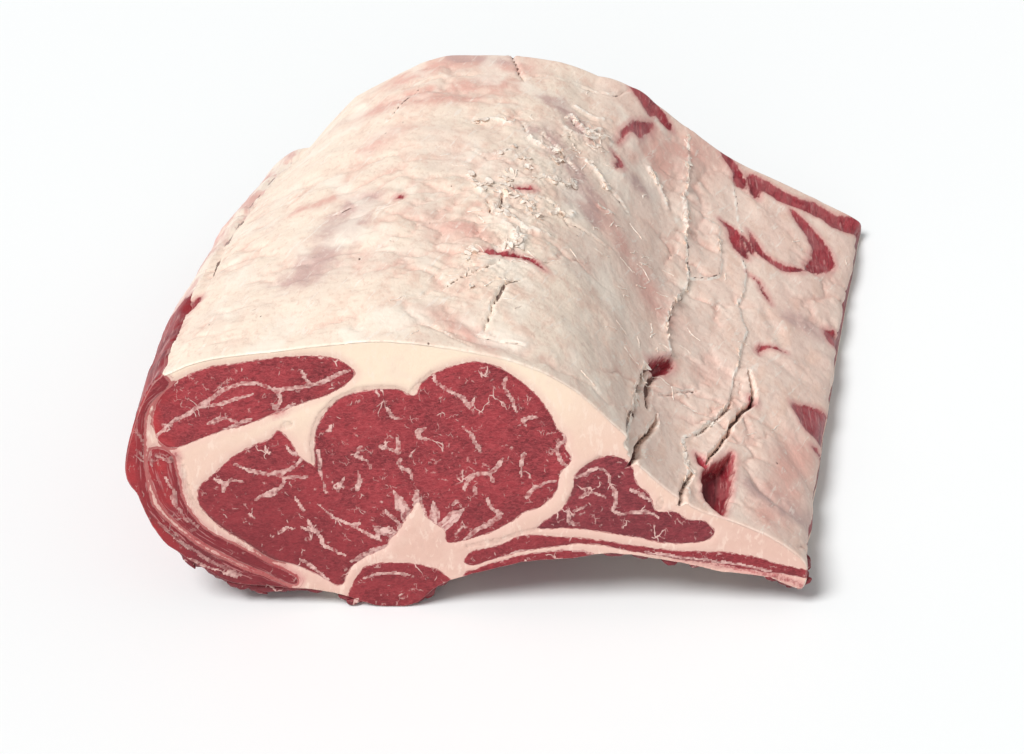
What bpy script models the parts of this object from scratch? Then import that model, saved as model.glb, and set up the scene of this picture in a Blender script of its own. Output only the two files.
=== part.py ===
"""A whole raw beef rib roast, boned out, lying on its rib side.

The roast is a bundle of muscles that all run along its length (+Y), held together by two sheets of fat
that meet at a fissure: the fat cap, with the seams and pockets that reach down between the muscles of
the thick side, and the flap's fat, which runs on under the eye above the rib side. Each muscle and
each sheet of fat is one closed solid that runs from the front cut to the back cut.

One section, the front cut, is drawn once in millimetres. section_at() carries any point of it to any
other place along the roast, so everything in the section changes shape together: towards the back the
dome gets lower, its left shoulder falls away and the flap splays out to the right.
"""

import bmesh
import bpy
import numpy as np

MM = 0.001
LENGTH = 318.0  # mm, front cut to back cut
CUT_LEAN = 0.07  # the front cut leans back by this much for each mm of height
STATIONS = (0.0, 0.08, 0.16, 0.36, 0.57, 0.79, 1.0)  # shares of the length that the lofts are drawn through
OVERRUN = 12.0  # mm that a muscle's blank runs past each cut before it is trimmed
ROOM_OVERRUN = 13.0  # mm that the room for it in the fat runs past each cut
GAP = 0.3  # mm of clearance between neighbouring solids
STEPS_BETWEEN = 16  # points worked out between each two given ones before an outline is spaced evenly
SMOOTH_TO = 0.6  # radians: a turn sharper than this stays an edge, such as the rim of a cut
SHARPEST = 0.5  # 1 + the cosine of the sharpest turn at which a grown corner keeps its full distance

# How the section changes from the front cut to the back cut, against x in the front section (mm).
SHIFT_X = (
    (-172, 34), (-147, 38), (-131, 33), (-106, 23), (-62, 14), (-17, 17), (26, 20), (52, 27), (80, 38), (132, 60),
)  # fmt: skip
SCALE_Z = (
    (-172, 0.46), (-147, 0.46), (-131, 0.55), (-106, 0.66), (-50, 0.81), (-17, 0.84), (26, 0.87), (42, 0.93),
    (66, 1.0), (80, 0.93), (95, 0.81), (116, 0.67), (132, 0.62),
)  # fmt: skip
DOME_POWER, FLAP_POWER = 2.2, 1.12  # how late along the length the dome and the flap change
SLIDES_SOONER, SINKS_SOONER = 0.4, 0.9  # what the dome's left shoulder, which changes sooner, takes off its power
SHOULDER_TO, CREST_FROM = -140.0, -50.0  # between these x the change turns from the shoulder's to the crest's
CREST_TO, FLAP_FROM = 20.0, 90.0  # between these x the change turns from the dome's to the flap's
REST_FROM = 0.16  # behind this share of the length the roast has settled flat on what it lies on
REST_REACH = 62.0  # mm of height that the settling reaches up into the meat
THICK_REST_DEPTH = 15.0  # mm by which the underside of the thick side settles
THICK_REST_LEFT, THICK_REST_RIGHT = (-166, -128), (-80, -40)  # where that fades in and out
FLAP_REST_DEPTH = 8.5  # mm by which the flap's end settles
FLAP_REST = (84.0, 126.0)  # where that fades in

# The front cut, in mm: x to the right, z up from the table. Each outline runs clockwise from its left end.
SKIN = (
    (-170, 74), (-164, 99), (-155, 118), (-146, 124), (-131, 130), (-106, 134), (-74, 138), (-50, 139), (-17, 134),
    (7, 127), (27, 115), (42, 100), (50, 91), (50, 85), (64, 69), (80, 55), (98, 47), (116, 38), (130, 27),
    (133, 19), (130, 10), (115, 16), (90, 20), (70, 25), (45, 29), (25, 26), (4, 24), (-21, 17), (-34, 10),
    (-45, 1), (-60, 0), (-79, 7), (-98, 10), (-124, 13), (-137, 20), (-150, 30), (-159, 41), (-165, 58),
)  # fmt: skip
EYE = (
    (-86, 70), (-86, 90), (-83, 100), (-76, 109), (-66, 114), (-51, 115), (-43, 112), (-39, 118), (-30, 125),
    (-16, 129), (-4, 125), (8, 115), (16, 104), (20, 95), (24, 91), (23, 85), (26, 79), (21, 71), (20, 63),
    (14, 55), (5, 51), (-3, 44), (-14, 39), (-28, 35), (-30, 42), (-38, 49), (-41, 57), (-46, 50), (-51, 41),
    (-58, 35), (-68, 42), (-80, 55),
)  # fmt: skip
COMPLEX = (
    (-139, 59), (-137, 66), (-130, 73), (-122, 81), (-112, 87), (-106, 90), (-101, 94), (-97, 89), (-92, 80),
    (-84, 73), (-76, 60), (-55, 37), (-66, 27), (-72, 22), (-77, 12), (-84, 15), (-95, 22), (-109, 27), (-119, 35),
    (-129, 43), (-136, 51),
)  # fmt: skip
CAP_MUSCLE = (
    (-155, 91), (-155, 104), (-149, 115), (-140, 122), (-130, 126), (-118, 128), (-106, 130), (-90, 132), (-77, 131),
    (-69, 126), (-68, 121), (-76, 114), (-88, 109), (-102, 103), (-113, 98), (-128, 93), (-140, 88), (-149, 85),
)  # fmt: skip
OUTER_SIDE_MUSCLE = (
    (-184, 74), (-180, 110), (-164, 128), (-148, 119), (-157, 106), (-160, 92), (-161, 72), (-160, 60), (-156, 50),
    (-148, 41), (-138, 32), (-125, 23), (-110, 16), (-100, 10), (-97, -2), (-100, -14), (-138, -14), (-172, 10),
    (-184, 40),
)  # fmt: skip
INNER_SIDE_MUSCLE = (
    (-159, 80), (-157, 85), (-151, 84), (-148, 78), (-147, 70), (-146, 60), (-142, 50), (-136, 42), (-124, 34),
    (-112, 26), (-102, 20), (-97, 16), (-97, 13), (-101, 13), (-111, 19), (-124, 26), (-137, 35), (-146, 43),
    (-154, 53), (-157, 62), (-159, 71),
)  # fmt: skip
UNDER_MUSCLE = (
    (-73, 10), (-68, 20), (-61, 24), (-48, 24), (-37, 22), (-30, 18), (-24, 8), (-30, -12), (-52, -12), (-80, -12),
    (-75, 4),
)  # fmt: skip
FLAP_MUSCLE = (
    (11, 43), (22, 53), (27, 64), (28, 72), (37, 79), (45, 81), (52, 77), (55, 67), (61, 60), (64, 52), (72, 52),
    (78, 48), (85, 47), (90, 42), (88, 37), (80, 35), (70, 35), (55, 38), (40, 41), (26, 43),
)  # fmt: skip
UPPER_RIB_STRIP = (
    (-22, 25), (-18, 30), (-6, 34), (5, 39), (25, 38), (42, 36), (58, 33), (74, 31), (95, 30), (107, 28), (122, 23),
    (134, 20), (145, 18), (145, 15), (126, 17), (109, 20), (92, 24), (80, 25), (65, 28), (51, 31), (38, 34),
    (25, 34), (8, 31), (-6, 27), (-17, 23),
)  # fmt: skip
LOWER_RIB_STRIP = (
    (-22, 17), (-16, 21), (-6, 25), (8, 29), (20, 31), (31, 31), (38, 28), (40, 16), (25, 8), (-5, 5), (-18, 6),
)  # fmt: skip

# The flap's fat is what lies right of and below this line, which comes up through the flap muscle and
# leaves the roast at the fissure. The points above FISSURE_FOOT drift down the flap's slope along the length.
FLAP_SIDE = (
    (-25, -14), (-25, 18), (-23, 27), (-14, 35), (0, 42), (14, 45), (40, 70), (54, 79), (74, 99), (165, 99), (165, -14),
)  # fmt: skip
FISSURE_FOOT = 75.0
FISSURE_DRIFT = ((0, 0), (0.22, 9), (0.34, 16), (0.55, 20), (0.75, 15), (1, 10))  # share of the length, mm

LEAN = {"base": (0.44, 0.055, 0.065), "roughness": 0.42}
DARK_LEAN = {"base": (0.33, 0.040, 0.055), "roughness": 0.45}
FAT = {"base": (0.85, 0.71, 0.58), "roughness": 0.5}

# name, outline, points round it, its size at the back cut against the front cut, finish
MUSCLES = (
    ("eye_muscle", EYE, 46, 0.95, LEAN),
    ("cap_muscle", CAP_MUSCLE, 26, 0.86, LEAN),
    ("flap_muscle", FLAP_MUSCLE, 28, 0.94, DARK_LEAN),
    ("under_muscle", UNDER_MUSCLE, 20, 1.0, LEAN),
    ("upper_rib_strip", UPPER_RIB_STRIP, 38, 1.0, LEAN),
    ("lower_rib_strip", LOWER_RIB_STRIP, 22, 1.0, DARK_LEAN),
    ("complex_muscle", COMPLEX, 32, 0.96, LEAN),
    ("inner_side_muscle", INNER_SIDE_MUSCLE, 28, 0.94, LEAN),
    ("outer_side_muscle", OUTER_SIDE_MUSCLE, 32, 1.0, DARK_LEAN),
)
SKIN_POINTS = 76


def smoothstep(low, high, value):
    share = min(1.0, max(0.0, (value - low) / (high - low)))
    return share * share * (3 - 2 * share)


def along(table, x):
    """The table's second column at x, between its rows."""
    places, values = zip(*table)
    return float(np.interp(x, places, values))


def smooth_outline(points, count):
    """count points, evenly spaced round a closed curve that passes smoothly through the given points."""
    given = np.array(points, float)
    before, after, beyond = (np.roll(given, turn, axis=0) for turn in (1, -1, -2))
    curve = []
    for share in np.linspace(0, 1, STEPS_BETWEEN, endpoint=False):
        square, cube = share * share, share**3
        curve.append(
            0.5
            * (
                2 * given
                + (after - before) * share
                + (2 * before - 5 * given + 4 * after - beyond) * square
                + (3 * given - before - 3 * after + beyond) * cube
            )
        )
    dense = np.array(curve).transpose(1, 0, 2).reshape(-1, 2)
    closed = np.vstack([dense, dense[:1]])
    walked = np.concatenate([[0], np.cumsum(np.linalg.norm(np.diff(closed, axis=0), axis=1))])
    wanted = np.linspace(0, walked[-1], count, endpoint=False)
    return np.column_stack([np.interp(wanted, walked, closed[:, axis]) for axis in (0, 1)])


def grown(points, by):
    """The clockwise outline moved out by that many mm, its corners kept at their full distance."""
    outline = np.array(points)
    runs = np.roll(outline, -1, axis=0) - outline
    runs /= np.linalg.norm(runs, axis=1)[:, None]
    ahead = np.column_stack([-runs[:, 1], runs[:, 0]])
    behind = np.roll(ahead, 1, axis=0)
    corner = 1 + (ahead * behind).sum(axis=1)
    return outline + by * (ahead + behind) / np.maximum(corner, SHARPEST)[:, None]


def section_at(x, z, share):
    """Where the front cut's point (x, z) lies at that share of the length, in mm."""
    power = DOME_POWER + (FLAP_POWER - DOME_POWER) * smoothstep(CREST_TO, FLAP_FROM, x)
    shoulder = 1 - smoothstep(SHOULDER_TO, CREST_FROM, x)
    across = x + share ** (power - SLIDES_SOONER * shoulder) * along(SHIFT_X, x)
    height = z * (1 - share ** (power - SINKS_SOONER * shoulder) * (1 - along(SCALE_Z, x)))
    depth = THICK_REST_DEPTH * smoothstep(*THICK_REST_LEFT, x) * (1 - smoothstep(*THICK_REST_RIGHT, x))
    depth += FLAP_REST_DEPTH * smoothstep(*FLAP_REST, x)
    height -= depth * smoothstep(0, REST_FROM, share) * (1 - smoothstep(0, REST_REACH, z))
    return across, height


def loft(name, outline, back_size=1.0, overrun=0.0, clearance=0.0, floor=False, drift=((0, 0),)):
    """A closed blank through the outline at every station, whose end spans run on past the cuts by overrun."""
    middle = outline.mean(axis=0)
    drifting = (outline[:, 1] > FISSURE_FOOT)[:, None] * np.array((1, -1))
    rings = []
    for share in STATIONS:
        size = 1 - (1 - back_size) * share
        sized = middle + (outline - middle) * size + drifting * along(drift, share)
        section = grown([section_at(x, z, share) for x, z in sized], clearance)
        across, height = section[:, 0], np.maximum(section[:, 1], 0.0 if floor else -np.inf)
        rings.append(np.column_stack([across, share * LENGTH + CUT_LEAN * height * (1 - share), height]))
    for end, inner in ((0, 1), (-1, -2)):
        run = rings[end] - rings[inner]
        rings[end] = rings[end] + run * overrun / np.abs(run[:, 1]).mean()
    shape = bmesh.new()
    rings = [[shape.verts.new(point * MM) for point in ring] for ring in rings]
    for near, far in zip(rings, rings[1:]):
        for i, vertex in enumerate(near):
            following = (i + 1) % len(near)
            shape.faces.new((vertex, far[i], far[following]))
            shape.faces.new((vertex, far[following], near[following]))
    shape.faces.new(rings[0])
    shape.faces.new(reversed(rings[-1]))
    bmesh.ops.recalc_face_normals(shape, faces=shape.faces)
    mesh = bpy.data.meshes.new(name)
    shape.to_mesh(mesh)
    shape.free()
    mesh.shade_smooth()
    mesh.set_sharp_from_angle(angle=SMOOTH_TO)
    made = bpy.data.objects.new(name, mesh)
    bpy.context.scene.collection.objects.link(made)
    return made


def as_cutter(piece):
    piece.hide_render = True
    piece.display_type = "WIRE"
    return piece


def cut(piece, operation, other, solver="EXACT"):
    boolean = piece.modifiers.new(f"{operation.lower()}_{other.name}", "BOOLEAN")
    boolean.operation = operation
    boolean.object = other
    boolean.solver = solver


def finish(piece, name, look):
    material = bpy.data.materials.new(name)
    material.use_nodes = True
    shader = material.node_tree.nodes["Principled BSDF"]
    shader.inputs["Base Color"].default_value = (*look["base"], 1.0)
    shader.inputs["Roughness"].default_value = look["roughness"]
    shader.inputs["Metallic"].default_value = 0.0
    piece.data.materials.append(material)


def centre_on_base(pieces):
    """Moves everything so that the origin is under the middle of the roast, on the surface it rests on."""
    bpy.context.view_layer.update()
    graph = bpy.context.evaluated_depsgraph_get()
    corners = []
    for piece in pieces:
        mesh = piece.evaluated_get(graph).to_mesh()
        corners += [vertex.co.copy() for vertex in mesh.vertices]
    corners = np.array(corners)
    low, high = corners.min(axis=0), corners.max(axis=0)
    middle = (-(low[0] + high[0]) / 2, -(low[1] + high[1]) / 2, -low[2])
    for thing in bpy.data.objects:
        thing.location = middle


def build():
    for thing in list(bpy.data.objects):
        bpy.data.objects.remove(thing)
    skin_outline = smooth_outline(SKIN, SKIN_POINTS)
    flap_side = np.array(FLAP_SIDE, float)
    envelope = as_cutter(loft("roast_envelope", skin_outline, floor=True))
    side_of_cap = as_cutter(loft("side_of_cap", flap_side, 1.0, ROOM_OVERRUN, GAP / 2, drift=FISSURE_DRIFT))
    side_of_flap = as_cutter(loft("side_of_flap", flap_side, 1.0, ROOM_OVERRUN, -GAP / 2, drift=FISSURE_DRIFT))
    fats = []
    for name, operation, side in (
        ("fat_cap", "DIFFERENCE", side_of_cap),
        ("flap_fat", "INTERSECT", side_of_flap),
    ):
        fat = loft(name, skin_outline, floor=True)
        finish(fat, name + "_tissue", FAT)
        cut(fat, operation, side, "MANIFOLD")
        fats.append(fat)
    muscles, rooms = [], []
    for name, points, count, back_size, look in MUSCLES:
        outline = smooth_outline(points, count)
        muscle = loft(name, outline, back_size, OVERRUN)
        finish(muscle, name + "_lean", look)
        for room in rooms:
            cut(muscle, "DIFFERENCE", room)
        cut(muscle, "INTERSECT", envelope)
        room = as_cutter(loft("room_for_" + name, outline, back_size, ROOM_OVERRUN, GAP))
        rooms.append(room)
        for fat in fats:
            cut(fat, "DIFFERENCE", room, "MANIFOLD")  # EXACT leaves doubled walls where thin seams meet
        muscles.append(muscle)
    centre_on_base(fats + muscles)


build()
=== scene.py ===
import itertools
import math

import bpy
import numpy as np
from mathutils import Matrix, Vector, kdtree


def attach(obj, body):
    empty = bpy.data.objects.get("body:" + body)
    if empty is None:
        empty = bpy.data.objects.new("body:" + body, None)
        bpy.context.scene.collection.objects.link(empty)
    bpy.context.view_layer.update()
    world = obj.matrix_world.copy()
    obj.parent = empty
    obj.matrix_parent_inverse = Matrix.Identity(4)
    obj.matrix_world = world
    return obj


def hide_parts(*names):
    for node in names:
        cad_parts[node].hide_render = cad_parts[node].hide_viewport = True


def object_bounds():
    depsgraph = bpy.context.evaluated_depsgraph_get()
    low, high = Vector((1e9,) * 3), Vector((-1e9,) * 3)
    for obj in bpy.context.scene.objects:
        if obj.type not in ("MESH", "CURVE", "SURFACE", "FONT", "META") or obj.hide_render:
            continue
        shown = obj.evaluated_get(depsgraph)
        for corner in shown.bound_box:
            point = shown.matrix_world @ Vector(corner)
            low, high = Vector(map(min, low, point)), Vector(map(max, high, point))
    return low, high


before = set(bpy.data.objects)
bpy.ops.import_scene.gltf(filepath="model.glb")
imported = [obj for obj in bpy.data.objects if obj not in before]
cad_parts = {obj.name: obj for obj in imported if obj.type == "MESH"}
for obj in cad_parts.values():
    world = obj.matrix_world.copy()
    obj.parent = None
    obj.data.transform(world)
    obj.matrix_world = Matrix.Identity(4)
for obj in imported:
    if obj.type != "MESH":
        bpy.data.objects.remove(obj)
CAD_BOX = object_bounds()

# The whole roast, before it is told apart into muscles and fat. It is one long bundle of raw meat sawn off
# square at both ends: rings of points, laid one behind the other, that change shape evenly from cut to cut.
MM = 0.001
LENGTH = 318.0
CUT_LEAN = 0.07  # how far the front cut leans back for each mm of height
LEFT_OF_SECTION = -170.0
ROUGH_STEP = 1.0
UNDER_STEP, RIM_STEP, RIM_DEPTH = 3.3 * ROUGH_STEP, 0.6 * ROUGH_STEP, 3.0
STEP_ROUND = ((-60, 1.7), (-20, 1.35), (30, 1.1), (50, 0.95))  # x in the front cut, mm between points
STEP_BACK = ((0, 0.95), (120, 1.1), (200, 1.4), (318, 1.7))  # mm behind the front cut, mm between rings
PAST_THE_CUTS = 9.0
SKIN = (
    (-170, 74), (-164, 99), (-155, 118), (-146, 124), (-131, 130), (-106, 134), (-74, 138), (-50, 139), (-17, 134),
    (7, 127), (27, 115), (42, 100), (50, 91), (50, 85), (64, 69), (80, 55), (98, 47), (116, 38), (130, 27),
    (133, 19), (130, 10), (115, 16), (90, 20), (70, 25), (45, 29), (25, 26), (4, 24), (-21, 17), (-34, 10),
    (-45, 1), (-60, 0), (-79, 7), (-98, 10), (-124, 13), (-137, 20), (-150, 30), (-159, 41), (-165, 58),
)  # fmt: skip
# where the shape at the back cut differs: x in the front cut, then mm across or share of the height
SHIFT_X = (
    (-172, 34), (-147, 38), (-131, 33), (-106, 23), (-62, 14), (-17, 17), (26, 20), (52, 27), (80, 38), (132, 60),
)  # fmt: skip
SCALE_Z = (
    (-172, 0.46), (-147, 0.46), (-131, 0.55), (-106, 0.66), (-50, 0.81), (-17, 0.84), (26, 0.87), (42, 0.93),
    (66, 1.0), (80, 0.93), (95, 0.81), (116, 0.67), (132, 0.62),
)  # fmt: skip
DOME_POWER, FLAP_POWER = 2.2, 1.12
SLIDES_SOONER, SINKS_SOONER = 0.4, 0.9
SHOULDER_TO, CREST_FROM, CREST_TO, FLAP_FROM = -140.0, -50.0, 20.0, 90.0
REST_FROM, REST_REACH = 0.16, 62.0
THICK_REST_DEPTH, THICK_REST_LEFT, THICK_REST_RIGHT = 15.0, (-166, -128), (-80, -40)
FLAP_REST_DEPTH, FLAP_REST = 8.5, (84.0, 126.0)
NECK_TOP, NECK_FOOT, NECK_RIGHT_OF, NECK_FILLS_OVER = (42.0, 100.0), (64.0, 69.0), 30.0, (0.005, 0.1)
UNDERSIDE_BELOW, UNDERSIDE_ACROSS = 32.0, (-135.0, 118.0)


def smoothstep(low, high, value):
    share = np.clip((value - low) / (high - low), 0, 1)
    return share * share * (3 - 2 * share)


def along(table, place):
    places, values = zip(*table)
    return np.interp(place, places, values)


def smooth_curve(points, closed, steps=16):
    """A dense curve that passes smoothly through the points."""
    given = np.array(points, float)
    if not closed:
        given = np.vstack([2 * given[0] - given[1], given, 2 * given[-1] - given[-2]])
    before, after, beyond = (np.roll(given, turn, axis=0) for turn in (1, -1, -2))
    bends = 2 * before - 5 * given + 4 * after - beyond, 3 * given - before - 3 * after + beyond
    shares = np.linspace(0, 1, steps, endpoint=False)
    curve = [0.5 * (2 * given + (after - before) * t + bends[0] * (t * t) + bends[1] * t**3) for t in shares]
    curve = np.array(curve).transpose(1, 0, 2)
    if closed:
        return curve.reshape(-1, 2)
    return np.vstack([curve[1:-2].reshape(-1, 2), given[-2:-1]])


def spaced(curve, step):
    """The closed curve's points again, each step mm apart; step is a number or one for each point."""
    closed = np.vstack([curve, curve[:1]])
    runs = np.linalg.norm(np.diff(closed, axis=0), axis=1) / step
    walked = np.concatenate([[0], np.cumsum(runs)])
    wanted = np.linspace(0, walked[-1], int(round(walked[-1])), endpoint=False)
    return np.column_stack([np.interp(wanted, walked, closed[:, axis]) for axis in (0, 1)])


def section_at(x, z, share):
    """Where the front cut's point (x, z) lies at that share of the length, in mm."""
    share = np.maximum(share, 0)
    power = DOME_POWER + (FLAP_POWER - DOME_POWER) * smoothstep(CREST_TO, FLAP_FROM, x)
    shoulder = 1 - smoothstep(SHOULDER_TO, CREST_FROM, x)
    across = x + share ** (power - SLIDES_SOONER * shoulder) * along(SHIFT_X, x)
    height = z * (1 - share ** (power - SINKS_SOONER * shoulder) * (1 - along(SCALE_Z, x)))
    depth = THICK_REST_DEPTH * smoothstep(*THICK_REST_LEFT, x) * (1 - smoothstep(*THICK_REST_RIGHT, x))
    depth = depth + FLAP_REST_DEPTH * smoothstep(*FLAP_REST, x)
    height = height - depth * smoothstep(0, REST_FROM, share) * (1 - smoothstep(0, REST_REACH, z))
    return across, height


def in_row(across, behind, height):
    """Points in the row's millimetres, from mm across, mm behind the front cut's foot, and mm up."""
    low = np.array(CAD_BOX[0]) / MM
    return np.column_stack(
        [np.ravel(across) + low[0] - LEFT_OF_SECTION, np.ravel(behind) + low[1], np.ravel(height)]
    )


def between(values, step_of):
    """Places from the first value to the last, whose steps come from step_of at each place."""
    fine = np.linspace(values[0], values[1], 4000)
    walked = np.concatenate([[0], np.cumsum(np.diff(fine) / step_of(fine[1:]))])
    return np.interp(np.linspace(0, walked[-1], int(walked[-1]) + 1), walked, fine)


skin_curve = smooth_curve(SKIN, True)
curve_x, curve_z = skin_curve.T
underside = (curve_z < UNDERSIDE_BELOW) & (curve_x > UNDERSIDE_ACROSS[0]) & (curve_x < UNDERSIDE_ACROSS[1])
skin_ring = spaced(skin_curve, np.where(underside, UNDER_STEP, along(STEP_ROUND, curve_x) * ROUGH_STEP))
rows_at = between(
    (-PAST_THE_CUTS, LENGTH + PAST_THE_CUTS),
    lambda y: np.where(
        np.minimum(abs(y), abs(LENGTH - y)) < RIM_DEPTH, RIM_STEP, along(STEP_BACK, y) * ROUGH_STEP
    ),
)
ring_x, row_y = np.meshgrid(skin_ring[:, 0], rows_at)
ring_z = np.broadcast_to(skin_ring[:, 1], ring_x.shape)
shares = row_y / LENGTH
down_neck = np.clip((NECK_TOP[1] - ring_z) / (NECK_TOP[1] - NECK_FOOT[1]), 0, 1)
filled = (ring_x > NECK_RIGHT_OF) * np.sin(math.pi * down_neck) ** 0.7 * smoothstep(*NECK_FILLS_OVER, shares)
ring_x = ring_x + filled * (NECK_TOP[0] + down_neck * (NECK_FOOT[0] - NECK_TOP[0]) - ring_x)
across, height = section_at(ring_x, ring_z, shares)
height = np.maximum(height, 0)
behind = row_y + CUT_LEAN * height * (1 - np.maximum(shares, 0))
skin_points = in_row(across, behind, height)
grid = skin_points.reshape(*ring_x.shape, 3)
run_round = np.roll(grid, -1, axis=1) - np.roll(grid, 1, axis=1)
outward = np.cross(run_round, np.gradient(grid, axis=0)).reshape(-1, 3)
outward /= np.linalg.norm(outward, axis=1)[:, None] + 1e-9

# The fat's surface. Under a dry membrane the cap lies in plates that have torn and slipped: the edge of the
# thick plate runs the whole length above the flap, with fissures, gouges and scraps where it has parted.
STEP_EDGE = (
    (84, 165), (82, 112), (80, 97), (80, 79), (78, 53), (78, 30), (76, 14), (69, -2), (64, -19), (63, -30),
    (64, -50), (56, -66), (50, -78), (46, -104), (42, -128), (40, -145), (39, -175),
)  # fmt: skip
PLATE_EDGE = (
    (110, 70), (109, 52), (107, 38), (103, 25), (103, 17), (106, 4), (102, -11), (100, -20), (96, -40), (92, -64),
    (84, -82), (75, -96), (70, -104),
)  # fmt: skip
PLATE_HEIGHT_AT = ((-175, 0.8), (-150, 1.2), (-60, 1.9), (20, 1.8), (90, 1.0), (165, 0.3))
SMALL_PLATE = ((78, 92), (96, 86), (97, 69), (97, 55), (94, 41), (88, 34), (78, 26))
STEP_FADE, SECOND_PLATE, SECOND_FADE, SMALL_RISE, SMALL_FADE = 16, 1.3, 14, 1.2, 9  # all mm
# each: points (row mm, seen from above), half width, depth
FISSURES = (
    (((55, -104), (54, -113), (50, -127), (47, -136), (45, -146), (43, -154), (40, -190)), 0.75, 5.0),
    (((104, -30), (105, -42), (105, -51), (104, -56), (99, -64), (94, -76), (87, -95), (82, -106), (77, -118)),
     0.6, 3.5),
    (((71, -128), (67, -140), (65, -148), (65, -156), (65, -190)), 0.6, 3.0),
    (((58, -70), (55, -78), (53, -86), (52, -94), (50, -106)), 0.7, 2.2),
    (((51, -78), (48, -92), (45, -107), (44, -118), (41, -130), (39, -150)), 0.55, 1.4),
    (((93, -62), (89, -74), (84, -82), (74, -99)), 0.45, 1.2),
    (((-23, -130), (-20, -112), (-17, -100), (-14, -89), (-6, -80)), 0.6, 1.2),
    (((-44, -104), (-36, -93), (-30, -88), (-22, -77), (-16, -69)), 0.35, 0.8),
    (((-54, 122), (-63, 103), (-69, 90), (-74, 76)), 0.45, 0.8),
    (((-97, -28), (-84, -24)), 0.4, 0.7),
    (((-77, -35), (-65, -28)), 0.4, 0.7),
    (((58, -87), (68, -74), (81, -59)), 0.2, 0.4),
    (((-8, 134), (10, 137), (23, 138), (42, 142), (51, 154)), 0.35, 0.8),
    (((-12, 164), (-8, 142), (-5, 126)), 0.5, 1.4),
    (((-23, -17), (-19, -32), (-15, -7)), 0.5, 1.4), (((3, 66), (12, 54), (22, 41)), 0.5, 1.3),
    (((38, 45), (43, 42), (48, 39)), 0.6, 1.4), (((11, -12), (23, -12), (36, -10)), 0.35, 1.0),
    (((-17, 80), (-7, 74), (-3, 54)), 0.35, 1.0), (((19, 92), (25, 85), (33, 89)), 0.5, 1.4),
    (((-6, -134), (-14, -134), (-26, -132)), 0.35, 0.8), (((-47, -131), (-37, -138), (-29, -145)), 0.35, 0.8),
    (((2, -1), (10, -4), (16, -16)), 0.4, 1.0), (((-32, 32), (-24, 25), (-17, 25)), 0.4, 1.0),
)  # fmt: skip
# the furrow along the left shoulder where the fat ends and bare lean begins (x, y, z)
LEFT_FURROW = (
    (-132, 140, 58), (-134, 124, 64), (-139, 90, 73), (-144, 65, 79), (-145, 32, 89), (-150, 0, 96),
    (-151, -46, 109), (-153, -71, 113), (-157, -83, 113), (-160, -120, 112), (-160, -170, 112),
)  # fmt: skip
FURROW_DEPTH, FURROW_WIDTH, FURROW_REACH = 1.4, 1.5, 45
VEIL_WIDTH, VEIL_FROM, VEIL_PER_MM, MOST_VEIL = 25, -66, 0.06, 0.8
# shallow troughs in the flap, wide and without a break
FOLDS = (
    (((118, 28), (127, -1), (135, 2), (147, 8)), 2.6, 0.7), (((101, -118), (115, -126), (128, -120)), 3.5, 0.8),
    (((96, -134), (112, -140), (124, -136)), 3.5, 0.8), (((112, -8), (124, -14), (140, -16)), 4.0, 0.8),
    (((90, 64), (88, 90), (92, 120)), 5.0, 0.7), (((113, -62), (122, -80), (132, -92)), 4.5, 0.8),
    (((-120, -60), (-112, -110), (-112, -150)), 6.0, 0.5), (((-60, 60), (-44, 20), (-40, -30)), 12.0, 0.7),
)  # fmt: skip
DARK_SPOTS = (
    (-66, 69), (-74, 59), (-81, 40), (-83, 29), (-49, -43), (-66, -63), (-80, -76), (-101, -70), (-47, -148),
    (-125, -111), (-121, -119), (-144, -117), (-14, 22), (-40, -8), (113, -94), (96, 12), (70, 36), (20, -20),
)  # fmt: skip
# pale curled edges of torn membrane
TORN_EDGES = (
    ((16, 80), (21, 79), (29, 82), (37, 93)), ((32, 23), (39, 24)), ((-4, 60), (3, 52), (12, 50)),
    ((-12, -30), (-4, -36), (6, -34)), ((8, -12), (16, -8), (18, 0)), ((-20, 30), (-12, 36), (-10, 44)),
    ((22, 112), (32, 108), (40, 112)), ((-14, -62), (-8, -50), (-10, -42)), ((4, 20), (14, 22), (20, 30)),
    ((26, 58), (34, 52), (36, 44)), ((-30, 66), (-22, 72), (-12, 70)), ((60, 96), (66, 84), (70, 74)),
    ((-32, 8), (-26, -11), (-21, 3)), ((-15, -36), (-6, -44), (-8, -57)), ((19, 97), (28, 86), (36, 99)),
    ((-20, -23), (-17, -31), (-13, -18)),
)  # fmt: skip
GOUGES = (
    (((91, -103), (84, -112), (77, -122), (75, -133), (76, -143), (80, -151), (83, -153), (86, -143), (89, -125)), 8.0),
    (((52, -70), (58, -60), (65, -52), (66, -56), (60, -69), (55, -74)), 4.5),
    (((73, -113), (77, -115), (79, -121), (74, -120)), 2.5),
)  # fmt: skip
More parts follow.
